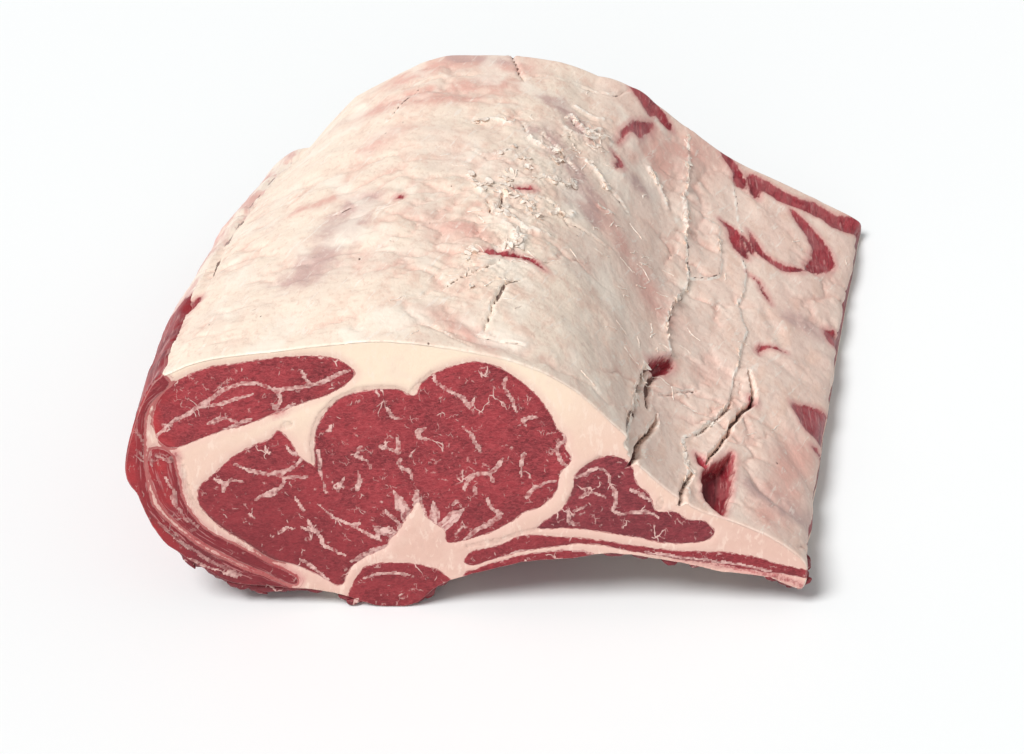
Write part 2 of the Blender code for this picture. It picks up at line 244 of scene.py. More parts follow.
# lean that shows through where fat is scraped off: outlines, then strokes with their half widths
BARE_PATCHES = (
    ((52, 158), (60, 158), (70, 156), (75, 149), (72, 145), (66, 148), (62, 143), (58, 147), (54, 152)),
    ((43, 94), (46, 108), (52, 124), (59, 133), (64, 140), (63, 130), (59, 122), (55, 112), (51, 113), (47, 104)),
    ((102, 162), (108, 157), (114, 148), (115, 138), (110, 138), (107, 147), (103, 153)),
    ((117, 152), (124, 154), (131, 152), (145, 150), (155, 154), (166, 153), (181, 160), (181, 149), (166, 140),
     (157, 142), (146, 141), (134, 139), (124, 141), (120, 132), (116, 142)),
    ((124, -42), (134, -34), (145, -30), (146, -50), (138, -56), (130, -55), (126, -48)),
    ((150, 40), (156, 46), (157, 33), (151, 32)),
)  # fmt: skip
BARE_STROKES = (
    (((139, 138), (148, 126), (154, 113), (154, 101), (143, 83)), 5.2),
    (((150, 122), (155, 108), (151, 96)), 6.0),
    (((143, 83), (133, 77), (125, 77), (118, 82), (115, 90), (113, 96)), 2.6),
    (((98, 94), (103, 89), (107, 79), (111, 69)), 3.6),
    (((108, 90), (112, 84), (115, 76)), 1.8),
    (((110, 57), (115, 54), (118, 45), (121, 37)), 0.9),
    (((41, 85), (44, 77), (41, 68)), 1.5),
    (((-10, -1), (0, 5)), 1.4),
    (((-25, -66), (-15, -63), (-6, -61)), 1.8),
    (((-9, -62), (-2, -62), (4, -67)), 1.3),
    (((111, -11), (113, -4), (118, -1), (126, 1)), 1.0),
    (((133, -64), (140, -62)), 1.6),
    (((104, -52), (104, -57)), 1.7),
    (((-65, -21), (-63, -20)), 1.6),
)  # fmt: skip
SCRAPE_DEPTH = 0.7
TORN_ZONE, TORN_WIDTH = ((-26, -88), (-14, -40), (-6, 0), (4, 40), (24, 86)), 17
# each: points along the stain, how far it spreads
MAUVE_SPOTS = (
    ((-83, -18), (-88, -40), (-96, -66), (-106, -88), 13), ((10, 110), (24, 88), (24, 86), (26, 84), 8),
    ((3, 66), (12, 52), (22, 36), (24, 10), 11), ((51, 69), (54, 72), (58, 74), (60, 76), 6),
    ((134, 34), (142, 34), (150, 34), (156, 34), 8), ((100, -124), (112, -127), (124, -122), (132, -116), 8),
    ((-40, 155), (-30, 155), (-25, 154), (-14, 152), 8),
)  # fmt: skip
BLUSH_SPOTS = (
    ((-66, 142), (-44, 148), (-25, 148), (-10, 146), 15), ((-80, 108), (-64, 96), (-50, 92), (-30, 98), 8),
    ((-112, -13), (-104, -11), (-98, -9), (-92, -8), 5), ((-43, -48), (-40, -49), (-36, -49), (-32, -50), 10),
    ((-43, -122), (-38, -126), (-30, -130), (-20, -140), 7), ((-83, 104), (-60, 98), (-40, 108), (-18, 118), 13),
    ((-78, 45), (-76, 50), (-72, 55), (-70, 58), 9), ((60, 100), (70, 130), (85, 140), (98, 150), 13),
    ((60, -20), (52, -10), (40, 10), (30, 20), 10), ((104, -140), (112, -120), (120, -90), (128, -70), 9),
)  # fmt: skip
LUMP_COUNT, LUMP_STRETCH, LUMPS_TURNED, LUMPS_OVER = 750, 1.6, 0.6, 260
FIBRES_TURNED = -0.42
RIM_ROUND, MOST_LIFT, INSIDE_BOX = 1.5, 1.2, 0.06


def noise(points, size, seed):
    """Smooth random values from -1 to 1, in lumps of about that size in mm."""
    grid = np.random.default_rng(seed).uniform(-1, 1, (32, 32, 32))
    place = points / np.asarray(size, float) + 320.5
    cell = np.floor(place).astype(int)
    part = place - cell
    part = part * part * (3 - 2 * part)
    total = np.zeros(len(points))
    for corner in itertools.product((0, 1), repeat=3):
        weight = np.prod(np.where(corner, part, 1 - part), axis=1)
        x, y, z = ((cell + corner) % 32).T
        total += weight * grid[x, y, z]
    return total


def rough(points, size, seed, layers=3):
    """Noise in several layers, each half the size and half the strength of the one before."""
    return sum(noise(points, np.asarray(size, float) / 2**i, seed + i) / 2**i for i in range(layers)) / 1.5


def turned(points, angle):
    """The points turned by that angle about the vertical."""
    x, y, z = points.T
    return np.column_stack([x * math.cos(angle) + y * math.sin(angle), y * math.cos(angle) - x * math.sin(angle), z])


def to_line(points, line, reach=40.0):
    """How far each point is from the open line, up to reach."""
    line = np.array(line, float)
    best = np.full(len(points), reach)
    near = ((points > line.min(axis=0) - reach) & (points < line.max(axis=0) + reach)).all(axis=1)
    some = points[near]
    gaps = best[near]
    for start, run in zip(line, np.diff(line, axis=0)):
        part = np.clip(((some - start) @ run) / (run @ run), 0, 1)
        gaps = np.minimum(gaps, np.linalg.norm(some - start - part[:, None] * run, axis=1))
    best[near] = gaps
    return best


def stroke(points, line, half_width, reach=6.0):
    """How far inside a stroke along the open line each point is; the stroke thins out at both ends."""
    line = np.array(line, float)
    best = np.full(len(points), -reach)
    near = ((points > line.min(axis=0) - reach) & (points < line.max(axis=0) + reach)).all(axis=1)
    some = points[near]
    depths = best[near]
    walked = np.concatenate([[0], np.cumsum(np.linalg.norm(np.diff(line, axis=0), axis=1))])
    half_width = np.broadcast_to(half_width, len(points))[near]
    for start, run, passed in zip(line, np.diff(line, axis=0), walked):
        part = np.clip(((some - start) @ run) / (run @ run), 0, 1)
        share = (passed + part * np.linalg.norm(run)) / walked[-1]
        taper = np.clip(4.5 * np.minimum(share, 1 - share), 0, 1) ** 0.7
        depths = np.maximum(depths, half_width * taper - np.linalg.norm(some - start - part[:, None] * run, axis=1))
    best[near] = depths
    return best


def into_shape(points, outline, reach=8.0):
    """How far inside the closed outline each point is, negative outside, down to -reach."""
    closed = np.vstack([outline, outline[:1]]).astype(float)
    best = np.full(len(points), -reach)
    near = ((points > closed.min(axis=0) - reach) & (points < closed.max(axis=0) + reach)).all(axis=1)
    some = points[near]
    inside = np.zeros(len(some), bool)
    for (x0, z0), (x1, z1) in zip(closed, closed[1:]):
        if z0 != z1:
            crosses = (z0 > some[:, 1]) != (z1 > some[:, 1])
            inside ^= crosses & (some[:, 0] < x0 + (some[:, 1] - z0) * (x1 - x0) / (z1 - z0))
    gap = to_line(some, closed, 400.0)
    best[near] = np.maximum(np.where(inside, gap, -gap), -reach)
    return best


def squares(points):
    """The faces between neighbours in a grid of point numbers."""
    corners = [points[:-1, :-1], points[:-1, 1:], points[1:, 1:], points[1:, :-1]]
    return np.stack(corners, axis=-1).reshape(-1, 4)


def as_object(name, points, faces=(), edges=()):
    mesh = bpy.data.meshes.new(name)
    mesh.from_pydata((np.asarray(points) * MM).tolist(), edges, faces)
    made = bpy.data.objects.new(name, mesh)
    bpy.context.scene.collection.objects.link(made)
    return made


def tube(name, rings, count):
    """A closed body through rings of count points each, laid one behind the other."""
    here = np.arange(len(rings)).reshape(-1, count)
    sides = squares(np.column_stack([here, here[:, 0]]))
    return as_object(name, rings, sides.tolist() + [here[0][::-1].tolist(), here[-1].tolist()])


def ridge(gap, width):
    """1 on a line, fading to 0 over about that many mm either side."""
    return np.exp(-((gap / width) ** 2))


def bumps(size, seed, points=skin_points):
    return noise(points, size, seed)


seen_from_above = skin_points[:, :2]
wander = np.column_stack([rough(skin_points, 7, 11), rough(skin_points, 7, 21)])
torn_at = seen_from_above + 0.9 * wander
top = smoothstep(-0.15, 0.2, outward[:, 2])
from_cut = np.minimum(row_y, LENGTH - row_y).ravel()
inland = smoothstep(0, 14, from_cut)

# broad swells, fibres, and the creases between lumps of fat
lift = inland * (1.0 * bumps(52, 1) + 0.9 * bumps(20, 2)) - 0.9 * inland
lift += inland * (0.4 * bumps(9, 5) + 0.2 * bumps(4.5, 6))
fibres = turned(skin_points, FIBRES_TURNED)
lift += 0.2 * top * bumps((5, 22, 12), 3, fibres)
lumps = kdtree.KDTree(LUMP_COUNT)
middles = np.random.default_rng(5).uniform(-LUMPS_OVER, LUMPS_OVER, (LUMP_COUNT, 2))
for index, (u, v) in enumerate(middles):
    lumps.insert((u, v, 0), index)
lumps.balance()
laid_out = skin_points + 5 * np.column_stack([wander, wander[:, 0]])
laid_out = turned(laid_out, LUMPS_TURNED) * (1 / LUMP_STRETCH, 1, 0)
gaps = np.array([[gap for _, _, gap in lumps.find_n(place, 2)] for place in laid_out])
to_crease = gaps[:, 1] - gaps[:, 0]
creased = smoothstep(-0.35, 0.5, bumps(32, 8)) * top * inland
lift += creased * (1.5 * (1 - np.exp(-to_crease / 4.0)) - 1.0 - 0.35 * ridge(to_crease, 0.9))

# the plates: a step down past each edge, which fades out beyond it
past_step = torn_at[:, 0] - along(sorted((y, x) for x, y in STEP_EDGE), torn_at[:, 1])
step_height = along(PLATE_HEIGHT_AT, torn_at[:, 1]) * top
crumbled = past_step + 0.8 * bumps(3, 31)
lift -= step_height * smoothstep(-0.5, 0.9, crumbled) * np.exp(-np.maximum(past_step, 0) / STEP_FADE)
curled_up = step_height * np.exp(np.minimum(past_step, 0) / 2.0) * (past_step < 0)
lift += 0.35 * curled_up * (1 + bumps(2.5, 32))
past_plate = torn_at[:, 0] - along(sorted((y, x) for x, y in PLATE_EDGE), torn_at[:, 1])
on_plate = smoothstep(-112, -95, torn_at[:, 1]) * (1 - smoothstep(50, 74, torn_at[:, 1])) * top
fading = np.exp(-np.maximum(past_plate, 0) / SECOND_FADE)
lift -= SECOND_PLATE * on_plate * smoothstep(-0.4, 0.8, past_plate) * fading
small = into_shape(torn_at, SMALL_PLATE)
lift += SMALL_RISE * top * smoothstep(-0.3, 0.9, small) * np.exp(-np.maximum(small, 0) / SMALL_FADE)
torn = ridge(to_line(seen_from_above, TORN_ZONE, 60), TORN_WIDTH) * top
scales = rough(np.column_stack([torn_at, skin_points[:, 2]]), (11, 9, 12), 41, 2) * 4.2
ledge = np.floor(scales) + smoothstep(0.38, 0.62, scales - np.floor(scales))
lift += (ledge - scales) * (1.3 * torn + 0.3 * top) * inland

# what is open, folded, torn or scraped, each marked for the materials as well, with painted shade marked in the cracks,
# fissures, furrow, at the foot of each plate step and in the gouges
nothing = np.zeros(len(skin_points))
gouge_shade, speck_and_crack_shade, lip, bare = nothing, nothing - 3.0, nothing, nothing - 6.0
narrowing = 1 + 0.8 * bumps(5, 51)
for line, half_width, depth in FISSURES:
    within = stroke(torn_at, smooth_curve(line, False, 4), half_width * narrowing)
    lift -= depth * smoothstep(-0.9, 0.6 * half_width, within) * top
    lift += 0.3 * ridge(within + 1.6, 0.8) * top
    # the inside of each fissure is marked dark: painted shade
    speck_and_crack_shade = np.maximum(speck_and_crack_shade, within)
    lip = np.maximum(lip, 0.8 * ridge(within + 0.8, 0.6))
furrow = to_line(skin_points, LEFT_FURROW, FURROW_REACH)
lift -= FURROW_DEPTH * ridge(furrow, FURROW_WIDTH) * inland
# painted shade along the furrow
speck_and_crack_shade = np.maximum(speck_and_crack_shade, 0.9 * bumps(12, 52) - furrow)
# dark specks, the fat's own colour
for spot in DARK_SPOTS:
    speck_and_crack_shade = np.maximum(speck_and_crack_shade, 0.75 - np.linalg.norm(torn_at - spot, axis=1) - 3 * (1 - top))
for line, half_width, depth in FOLDS:
    lift -= depth * ridge(to_line(seen_from_above + 2 * wander, line, 40), half_width) * top
for line in TORN_EDGES:
    curled = ridge(to_line(torn_at + 0.8 * wander, line, 8), 1.0)
    lift += curled * top
    lip = np.maximum(lip, 1.2 * curled)
for edge in (past_step, 1.5 * past_plate + 3 * (1 - on_plate), 1.5 * small):
    lip = np.maximum(lip, 1.25 * ridge(edge, 1.2))
    # a dark line just past each plate edge: painted shadow at the foot of the step
    speck_and_crack_shade = np.maximum(speck_and_crack_shade, 0.15 + 0.6 * bumps(8, 57) - abs(edge - 1.0) - 3 * (1 - top * inland))
lip = lip * (top * inland * (0.75 + 0.5 * bumps(6, 55)))
for outline, depth in GOUGES:
    inside = into_shape(torn_at, smooth_curve(outline, True, 6))
    lift -= depth * smoothstep(-0.8, 3.4, inside) * top
    # the deep middle of each gouge is marked for painted shade
    gouge_shade = np.maximum(gouge_shade, 0.8 * smoothstep(0.5, 5, inside))
    bare = np.maximum(bare, inside)
for outline in BARE_PATCHES:
    bare = np.maximum(bare, into_shape(torn_at, smooth_curve(outline, True, 6)))
for line, half_width in BARE_STROKES:
    bare = np.maximum(bare, stroke(torn_at, smooth_curve(line, False, 6), half_width, 10.0))
bare = np.where(outward[:, 2] > 0.05, bare, -6.0)
along_side = skin_points[:, 1] + 8 * bumps(14, 67)
bare = np.maximum(bare, 1.5 + 4.5 * rough(skin_points, 11, 65) - furrow - 9 * smoothstep(-78, -58, along_side))
shallow = smoothstep(-0.6, 1.2, bare) * inland
lift -= SCRAPE_DEPTH * shallow
lift += 0.16 * shallow * bumps((2.6, 30, 8), 61, fibres)

# a fatty membrane still lies over the bared side's upper part, all but the front of it
veil = VEIL_WIDTH + 14 * rough(skin_points, (10, 50, 10), 66) - furrow
veil = np.minimum(veil, 0.6 * (along_side - VEIL_FROM))
mauve, blush_and_crease_shade = (
    np.max([
        ridge(to_line(seen_from_above + 3 * wander, line, 60), spread) * top for *line, spread in spots
    ], axis=0)
    for spots in (MAUVE_SPOTS, BLUSH_SPOTS)
)  # fmt: skip
# painted shade: the blush mark also darkens the creases between lumps
blush_and_crease_shade = np.maximum(blush_and_crease_shade, 0.5 * creased * ridge(to_crease, 2.4))
flap_side = smoothstep(-4, 6, past_step) * top

# the bared side of the thick end is grained lean: ridges that run along the length
side_grain = (1 - top) * (skin_points[:, 0] < -100)
lift += side_grain * inland * (0.5 * bumps((7, 60, 5), 71) + 0.25 * bumps((3, 25, 3), 72))
resting = 1 - smoothstep(0.5, 9, skin_points[:, 2])
lift *= 1 - resting
faces_down = smoothstep(0.2, -0.5, outward[:, 2])
lift += (1 - resting) * (1 - top) * faces_down * 0.9 * rough(skin_points, (9, 14, 9), 81)
lift = np.minimum(lift, MOST_LIFT)
into_rim = np.clip(RIM_ROUND - from_cut, 0, RIM_ROUND)
lift -= RIM_ROUND - np.sqrt(RIM_ROUND**2 - into_rim**2)

skin_points = skin_points + outward * lift[:, None]
low, high = np.array(CAD_BOX[0]) / MM + INSIDE_BOX, np.array(CAD_BOX[1]) / MM - INSIDE_BOX
skin_points[:, 0] = np.clip(skin_points[:, 0], low[0], high[0])
skin_points[:, 2] = np.clip(skin_points[:, 2], INSIDE_BOX, high[2])
skin_body = tube("skin_body", skin_points, ring_x.shape[1])

# The muscles, each drawn where the front cut crosses it. They are told apart by seams of fat and by thin
# membranes, and each runs the whole length, most of them getting a little smaller towards the back cut.
EYE = (
    (-86, 70), (-86, 90), (-83, 100), (-76, 109), (-66, 114), (-51, 115), (-43, 112), (-39, 118), (-30, 125),
    (-16, 129), (-4, 125), (8, 115), (16, 104), (20, 95), (24, 91), (23, 85), (26, 79), (21, 71), (20, 63),
    (14, 55), (5, 51), (-3, 44), (-14, 39), (-28, 35), (-30, 42), (-38, 49), (-41, 57), (-46, 50), (-51, 41),
    (-58, 35), (-68, 42), (-80, 55),
)  # fmt: skip
COMPLEX = (
    (-139, 59), (-137, 66), (-130, 73), (-122, 81), (-112, 87), (-106, 90), (-101, 94), (-97, 89), (-92, 80),
    (-84, 73), (-76, 60), (-55, 37), (-66, 27), (-72, 22), (-77, 12), (-84, 15), (-95, 22), (-109, 27), (-119, 35),
    (-129, 43), (-136, 51),
)  # fmt: skip
CAP_MUSCLE = (
    (-155, 91), (-155, 104), (-149, 115), (-140, 122), (-130, 126), (-118, 128), (-106, 130), (-90, 132), (-77, 131),
    (-69, 126), (-68, 121), (-76, 114), (-88, 109), (-102, 103), (-113, 98), (-128, 93), (-140, 88), (-149, 85),
)  # fmt: skip
OUTER_SIDE_MUSCLE = (
    (-184, 74), (-180, 110), (-164, 128), (-148, 119), (-157, 106), (-160, 92), (-161, 72), (-160, 60), (-156, 50),
    (-148, 41), (-138, 32), (-125, 23), (-110, 16), (-100, 10), (-97, -2), (-100, -14), (-138, -14), (-172, 10),
    (-184, 40),
)  # fmt: skip
INNER_SIDE_MUSCLE = (
    (-159, 80), (-157, 85), (-151, 84), (-148, 78), (-147, 70), (-146, 60), (-142, 50), (-136, 42), (-124, 34),
    (-112, 26), (-102, 20), (-97, 16), (-97, 13), (-101, 13), (-111, 19), (-124, 26), (-137, 35), (-146, 43),
    (-154, 53), (-157, 62), (-159, 71),
)  # fmt: skip
UNDER_MUSCLE = (
    (-73, 10), (-68, 20), (-61, 24), (-48, 24), (-37, 22), (-30, 18), (-24, 8), (-30, -12), (-52, -12), (-80, -12),
    (-75, 4),
)  # fmt: skip
FLAP_MUSCLE = (
    (11, 43), (22, 53), (27, 64), (28, 72), (37, 79), (45, 81), (52, 77), (55, 67), (61, 60), (64, 52), (72, 52),
    (78, 48), (85, 47), (90, 42), (88, 37), (80, 35), (70, 35), (55, 38), (40, 41), (26, 43),
)  # fmt: skip
UPPER_RIB_STRIP = (
    (-22, 25), (-18, 30), (-6, 34), (5, 39), (25, 38), (42, 36), (58, 33), (74, 31), (95, 30), (107, 28), (122, 23),
    (134, 20), (145, 18), (145, 15), (126, 17), (109, 20), (92, 24), (80, 25), (65, 28), (51, 31), (38, 34),
    (25, 34), (8, 31), (-6, 27), (-17, 23),
)  # fmt: skip
LOWER_RIB_STRIP = (
    (-22, 17), (-16, 21), (-6, 25), (8, 29), (20, 31), (31, 31), (38, 28), (40, 16), (25, 8), (-5, 5), (-18, 6),
)  # fmt: skip
# outline, size at the back cut against the front cut; the two bands of the side come last
MUSCLES = {
    "eye_muscle": (EYE, 0.95),
    "cap_muscle": (CAP_MUSCLE, 0.86),
    "flap_muscle": (FLAP_MUSCLE, 0.94),
    "under_muscle": (UNDER_MUSCLE, 1.0),
    "upper_rib_strip": (UPPER_RIB_STRIP, 1.0),
    "lower_rib_strip": (LOWER_RIB_STRIP, 1.0),
    "complex_muscle": (COMPLEX, 0.96),
    "inner_side_muscle": (INNER_SIDE_MUSCLE, 0.94),
    "outer_side_muscle": (OUTER_SIDE_MUSCLE, 1.0),
}

BLANK_STEP, BLANK_ROWS, BLANK_REACH = 1.8 * ROUGH_STEP, 30, PAST_THE_CUTS + 4
RAGGED, WANDER = 0.75, 2.0  # mm by which outlines are ragged, and wander between the two cuts
FACE_STEP, BACK_FACE_STEP, FACE_INSET, FACE_UP_TO = 0.64 * ROUGH_STEP, 1.2 * ROUGH_STEP, 0.6, (-3.0, 143.0)
BULGE_LEAN, BULGE_FAT, BULGE_REACH = 0.55, 0.4, 1.1
NOT_DRAWN = -3.0


def sized(name, share):
    """The muscle's outline, a little ragged, as it lies at that share of the length."""
    outline, back_size = MUSCLES[name]
    ring = spaced(smooth_curve(outline, True), BLANK_STEP)
    flat = np.column_stack([ring, np.zeros(len(ring))])
    ring = ring + RAGGED * np.column_stack([rough(flat, 6.5, 91), rough(flat, 6.5, 95)])
    middle = ring.mean(axis=0)
    ring = middle + (ring - middle) * (1 - (1 - back_size) * share)
    inside = math.sin(math.pi * min(1, max(0, share))) ** 0.5
    spots = np.column_stack([ring, np.full(len(ring), share * LENGTH)])
    ring = ring + WANDER * inside * np.column_stack([rough(spots, (16, 16, 30), 97), rough(spots, (16, 16, 30), 99)])
    return np.column_stack(section_at(*ring.T, share))


def blank(name):
    """The whole muscle as one body, from before the front cut to past the back cut."""
    rings = []
    for y in np.linspace(-BLANK_REACH, LENGTH + BLANK_REACH, BLANK_ROWS):
        x, z = sized(name, y / LENGTH).T
        rings.append(in_row(x, y + CUT_LEAN * z * (1 - max(y, 0) / LENGTH), z))
    return tube("blank_" + name, np.vstack(rings), len(rings[0]))


# pale veins and seams across the lean of the front cut: points (section mm), half width at the middle
VEINS = (
    (((-54, 106), (-51, 101), (-48, 100)), 0.7), (((-34, 123), (-32, 118), (-28, 115), (-22, 112), (-18, 106)), 0.5),
    (((-18, 106), (-16, 111)), 0.5), (((-2, 121), (-3, 117), (0, 110), (2, 104)), 0.55),
    (((10, 101), (5, 100), (6, 97)), 0.5), (((-38, 96), (-41, 93), (-40, 91), (-36, 90)), 0.7),
    (((-21, 96), (-18, 93), (-16, 88), (-14, 84)), 0.6), (((-66, 86), (-68, 81), (-64, 79), (-62, 75)), 0.55),
    (((-58, 86), (-53, 85), (-50, 83), (-50, 90)), 0.6), (((-49, 80), (-49, 76), (-45, 73), (-44, 69)), 0.7),
    (((-21, 64), (-19, 69), (-15, 72), (-9, 73), (-6, 76), (-4, 80)), 1.3), (((-10, 73), (-8, 68)), 0.9),
    (((5, 83), (4, 78), (4, 71)), 0.55), (((6, 59), (9, 64), (14, 67), (19, 68)), 0.6),
    (((-11, 59), (-9, 54), (-5, 51), (-9, 47), (-16, 42), (-21, 37)), 1.0), (((-49, 60), (-47, 54), (-44, 50)), 0.9),
    (((-42, 63), (-41, 55), (-39, 44), (-38, 30)), 4.5), (((-52, 63), (-49, 54), (-46, 46), (-42, 36), (-40, 26)), 4.5),
    (((-34, 57), (-34, 47), (-33, 38), (-34, 26)), 4.0), (((-22, 53), (-29, 46), (-35, 38), (-40, 30)), 4.0),
     (((-62, 44), (-53, 40), (-45, 34), (-38, 28)), 4.0),
    (((-72, 25), (-64, 30), (-54, 34)), 1.4), (((-56, 52), (-52, 48), (-48, 42)), 1.0), (((-16, 65), (-16, 61)),
     0.6), (((-24, 58), (-26, 56)), 0.6),
    (((-67, 73), (-67, 68), (-69, 63)), 0.5), (((-77, 63), (-74, 70)), 0.45), (((-59, 123), (-51, 125)), 0.4),
    (((20, 96), (23, 90), (20, 86), (21, 80), (25, 75)), 0.5), (((-86, 56), (-80, 50), (-70, 44), (-60, 38)), 0.35),
    (((-85, 84), (-84, 72), (-82, 62)), 0.5), (((-90, 47), (-86, 39), (-84, 34), (-79, 31), (-75, 29)), 0.6),
    (((-95, 27), (-89, 21), (-83, 15)), 0.6), (((-61, 43), (-59, 38)), 0.6), (((-70, 46), (-67, 46)), 0.5),
    (((-155, 91), (-150, 96), (-141, 103), (-132, 109), (-124, 115), (-116, 118)), 0.8),
    (((-116, 118), (-110, 118), (-103, 115), (-100, 110), (-102, 105)), 0.9),
    (((-136, 106), (-126, 108), (-112, 113)), 0.45), (((-103, 115), (-96, 116), (-84, 118), (-78, 121),
     (-70, 125)), 0.6),
    (((-90, 124), (-87, 119)), 0.8), (((-104, 108), (-100, 104), (-94, 108)), 1.5), (((-125, 95), (-113, 100)), 0.7),
    (((-156, 82), (-150, 79), (-146, 82)), 0.7), (((-132, 98), (-126, 101), (-120, 99)), 0.5),
    (((-121, 77), (-114, 73), (-106, 72), (-98, 74), (-92, 80)), 0.9), (((-106, 72), (-98, 70), (-90, 71)), 0.6),
    (((-98, 86), (-95, 82), (-93, 84)), 0.5), (((-131, 69), (-126, 67), (-123, 69), (-119, 68)), 0.55),
    (((-126, 67), (-127, 63)), 0.5), (((-108, 62), (-102, 65), (-100, 69)), 0.9), (((-113, 59), (-104, 62)), 0.9),
    (((-96, 60), (-94, 56), (-92, 52)), 0.6), (((-104, 41), (-100, 44)), 0.6), (((-93, 44), (-86, 40)), 0.5),
    (((25, 69), (31, 71), (37, 75), (42, 72), (43, 68)), 0.45), (((43, 68), (46, 59), (45, 52), (51, 51)), 0.4),
    (((51, 51), (59, 52), (65, 49)), 0.5), (((25, 53), (26, 47), (30, 45)), 0.6), (((28, 52), (33, 56)), 0.5),
    (((52, 64), (61, 58)), 0.5), (((30, 60), (36, 62), (41, 60)), 0.3),
    (((-66, 16), (-58, 19), (-46, 18)), 0.35), (((-8, 25), (4, 30), (16, 31), (28, 31), (36, 29)), 0.7),
    (((60, 30), (80, 27), (100, 24), (116, 20)), 0.35), (((-16, 15), (-6, 17), (6, 21)), 0.7),
    (((10, 16), (20, 20), (30, 22)), 0.7), (((-164, 96), (-160, 86), (-158, 76)), 0.6),
    (((-164, 84), (-160, 80), (-158, 84)), 0.45), (((-150, 60), (-146, 50), (-140, 44)), 0.5),
    (((-152, 70), (-149, 62), (-148, 54)), 0.4), (((-157, 46), (-148, 36), (-136, 26), (-122, 18)), 0.7),
    (((-145, 27), (-134, 21), (-124, 17)), 0.7),
)  # fmt: skip
# red streaks left in the fat beside the lean of the front cut
STREAKS = (
    (((-142, 38), (-132, 33), (-120, 25)), 0.9), (((-128, 28), (-118, 22), (-110, 19)), 0.9),
    (((-112, 24), (-104, 20), (-96, 16)), 0.9), (((-104, 104), (-99, 106)), 1.2), (((-8, 22), (6, 24), (20, 27)), 0.8),
    (((74, 27.5), (96, 23), (118, 17.5), (131, 12)), 0.55), (((-150, 80), (-147, 82)), 1.0),
)  # fmt: skip
# thin creases where membranes part on the front cut, sunk a little and darkened with painted shade
CREASES = (
    (((-87, 78), (-87, 90), (-84, 100), (-77, 109), (-67, 115)), 0.42), (((-67, 115), (-52, 116), (-44, 113)), 0.3),
    (((-44, 113), (-39, 119), (-34, 124)), 0.25), (((-144, 76), (-143, 64), (-139, 54), (-131, 46)), 0.3),
    (((-131, 46), (-116, 33), (-100, 22)), 0.22), (((12, 43), (3, 40), (-4, 37), (-13, 35), (-20, 33)), 0.25),
    (((25, 57), (28, 64), (30, 72), (38, 80)), 0.18), (((54, 79), (53, 84)), 1.0), (((65, 53), (66, 59)), 0.7),
    (((-149, 80), (-145, 79)), 0.8), (((-103, 112), (-102, 110)), 0.7), (((-100, 96), (-96, 98)), 0.6),
    (((-88, 88), (-86, 80), (-84, 74)), 0.5), (((-150, 36), (-138, 29), (-120, 22)), 0.3),
    (((-166, 62), (-160, 48), (-150, 38)), 0.25), (((40, 27), (70, 26), (100, 20)), 0.2),
)  # fmt: skip


def cut_face(name, share, step, bounds, drawn):
    """A slab whose face is one cut of the roast, in low relief: lean and fat both swell between the seams."""
    xs, zs = np.arange(*bounds, step), np.arange(*FACE_UP_TO, step)
    x, z = (part.ravel() for part in np.meshgrid(xs, zs))
    flat = np.column_stack([x, z])
    spots = np.column_stack([x, z, np.full(len(x), 500.0 * share)])
    depths = [into_shape(flat, sized(muscle, share)) for muscle in MUSCLES]
    inside = np.max(depths, axis=0)
    zero = np.zeros(len(x))
    marks = {"vein": zero + NOT_DRAWN, "bare": zero - 6.0, "speck_and_crack_shade": zero + NOT_DRAWN, "edge": inside, "face": zero + 1}
    marks |= {key: zero for key in ("gouge_shade", "blush_and_crease_shade", "flap_side", "lip")}
    marks["mauve"] = smoothstep(-4.5, -1.0, np.max(depths[-2:], axis=0))
    wobble = 1.2 * np.column_stack([rough(spots, 3.6, 101), rough(spots, 3.6, 105)])
    if drawn:
        swelling, narrowing = 0.38 * (1 + 0.9 * noise(spots, 3.5, 111)), 1 + 0.6 * noise(spots, 5, 115)
        for key, lines, wavy, width, steps, reach in (
            ("vein", VEINS, 1.0, swelling, 4, 3),
            ("bare", STREAKS, 1.0, 1.0, 4, 5),
            ("speck_and_crack_shade", CREASES, 0.5, narrowing, 5, 3),
        ):
            for line, half in lines:
                within = stroke(flat + wavy * wobble, smooth_curve(line, False, steps), half * width, reach)
                marks[key] = np.maximum(marks[key], within)
    swell = np.where(inside > 0, BULGE_LEAN, BULGE_FAT) * (1 - np.exp(-abs(inside) / BULGE_REACH))
    swell += 0.14 * noise(spots, 16, 121) + 0.05 * noise(spots, 3, 122)
    swell -= 0.6 * smoothstep(-0.5, 0.6, marks["speck_and_crack_shade"])
    swell += 0.12 * smoothstep(-0.3, 0.4, marks["vein"])
    away = np.clip(FACE_INSET - swell, 0.03, 2.5)
    y = CUT_LEAN * np.maximum(z, 0) * (1 - share) + share * LENGTH + (away if share == 0 else -away)
    points = in_row(x, y, z)
    here = np.arange(len(x)).reshape(len(zs), len(xs))
    edge = np.concatenate([here[0], here[1:, -1], here[-1, -2::-1], here[-2:0:-1, 0]])
    deep = points[edge] * (2, 1, 1)
    deep[:, 1] = 400.0 if share == 0 else -400.0
    under = np.arange(len(edge)) + len(points)
    sides = np.stack([edge, under, np.roll(under, -1), np.roll(edge, -1)], axis=-1)
    faces = squares(here).tolist() + sides.tolist() + [under[::-1].tolist()]
    if share:
        faces = [face[::-1] for face in faces]
    return as_object(name, np.vstack([points, deep]), faces), points, marks


front_slab, front_points, front_marks = cut_face("front_slab", 0, FACE_STEP, (-176, 142), True)
back_slab, back_points, back_marks = cut_face("back_slab", 1, BACK_FACE_STEP, (-150, 204), False)


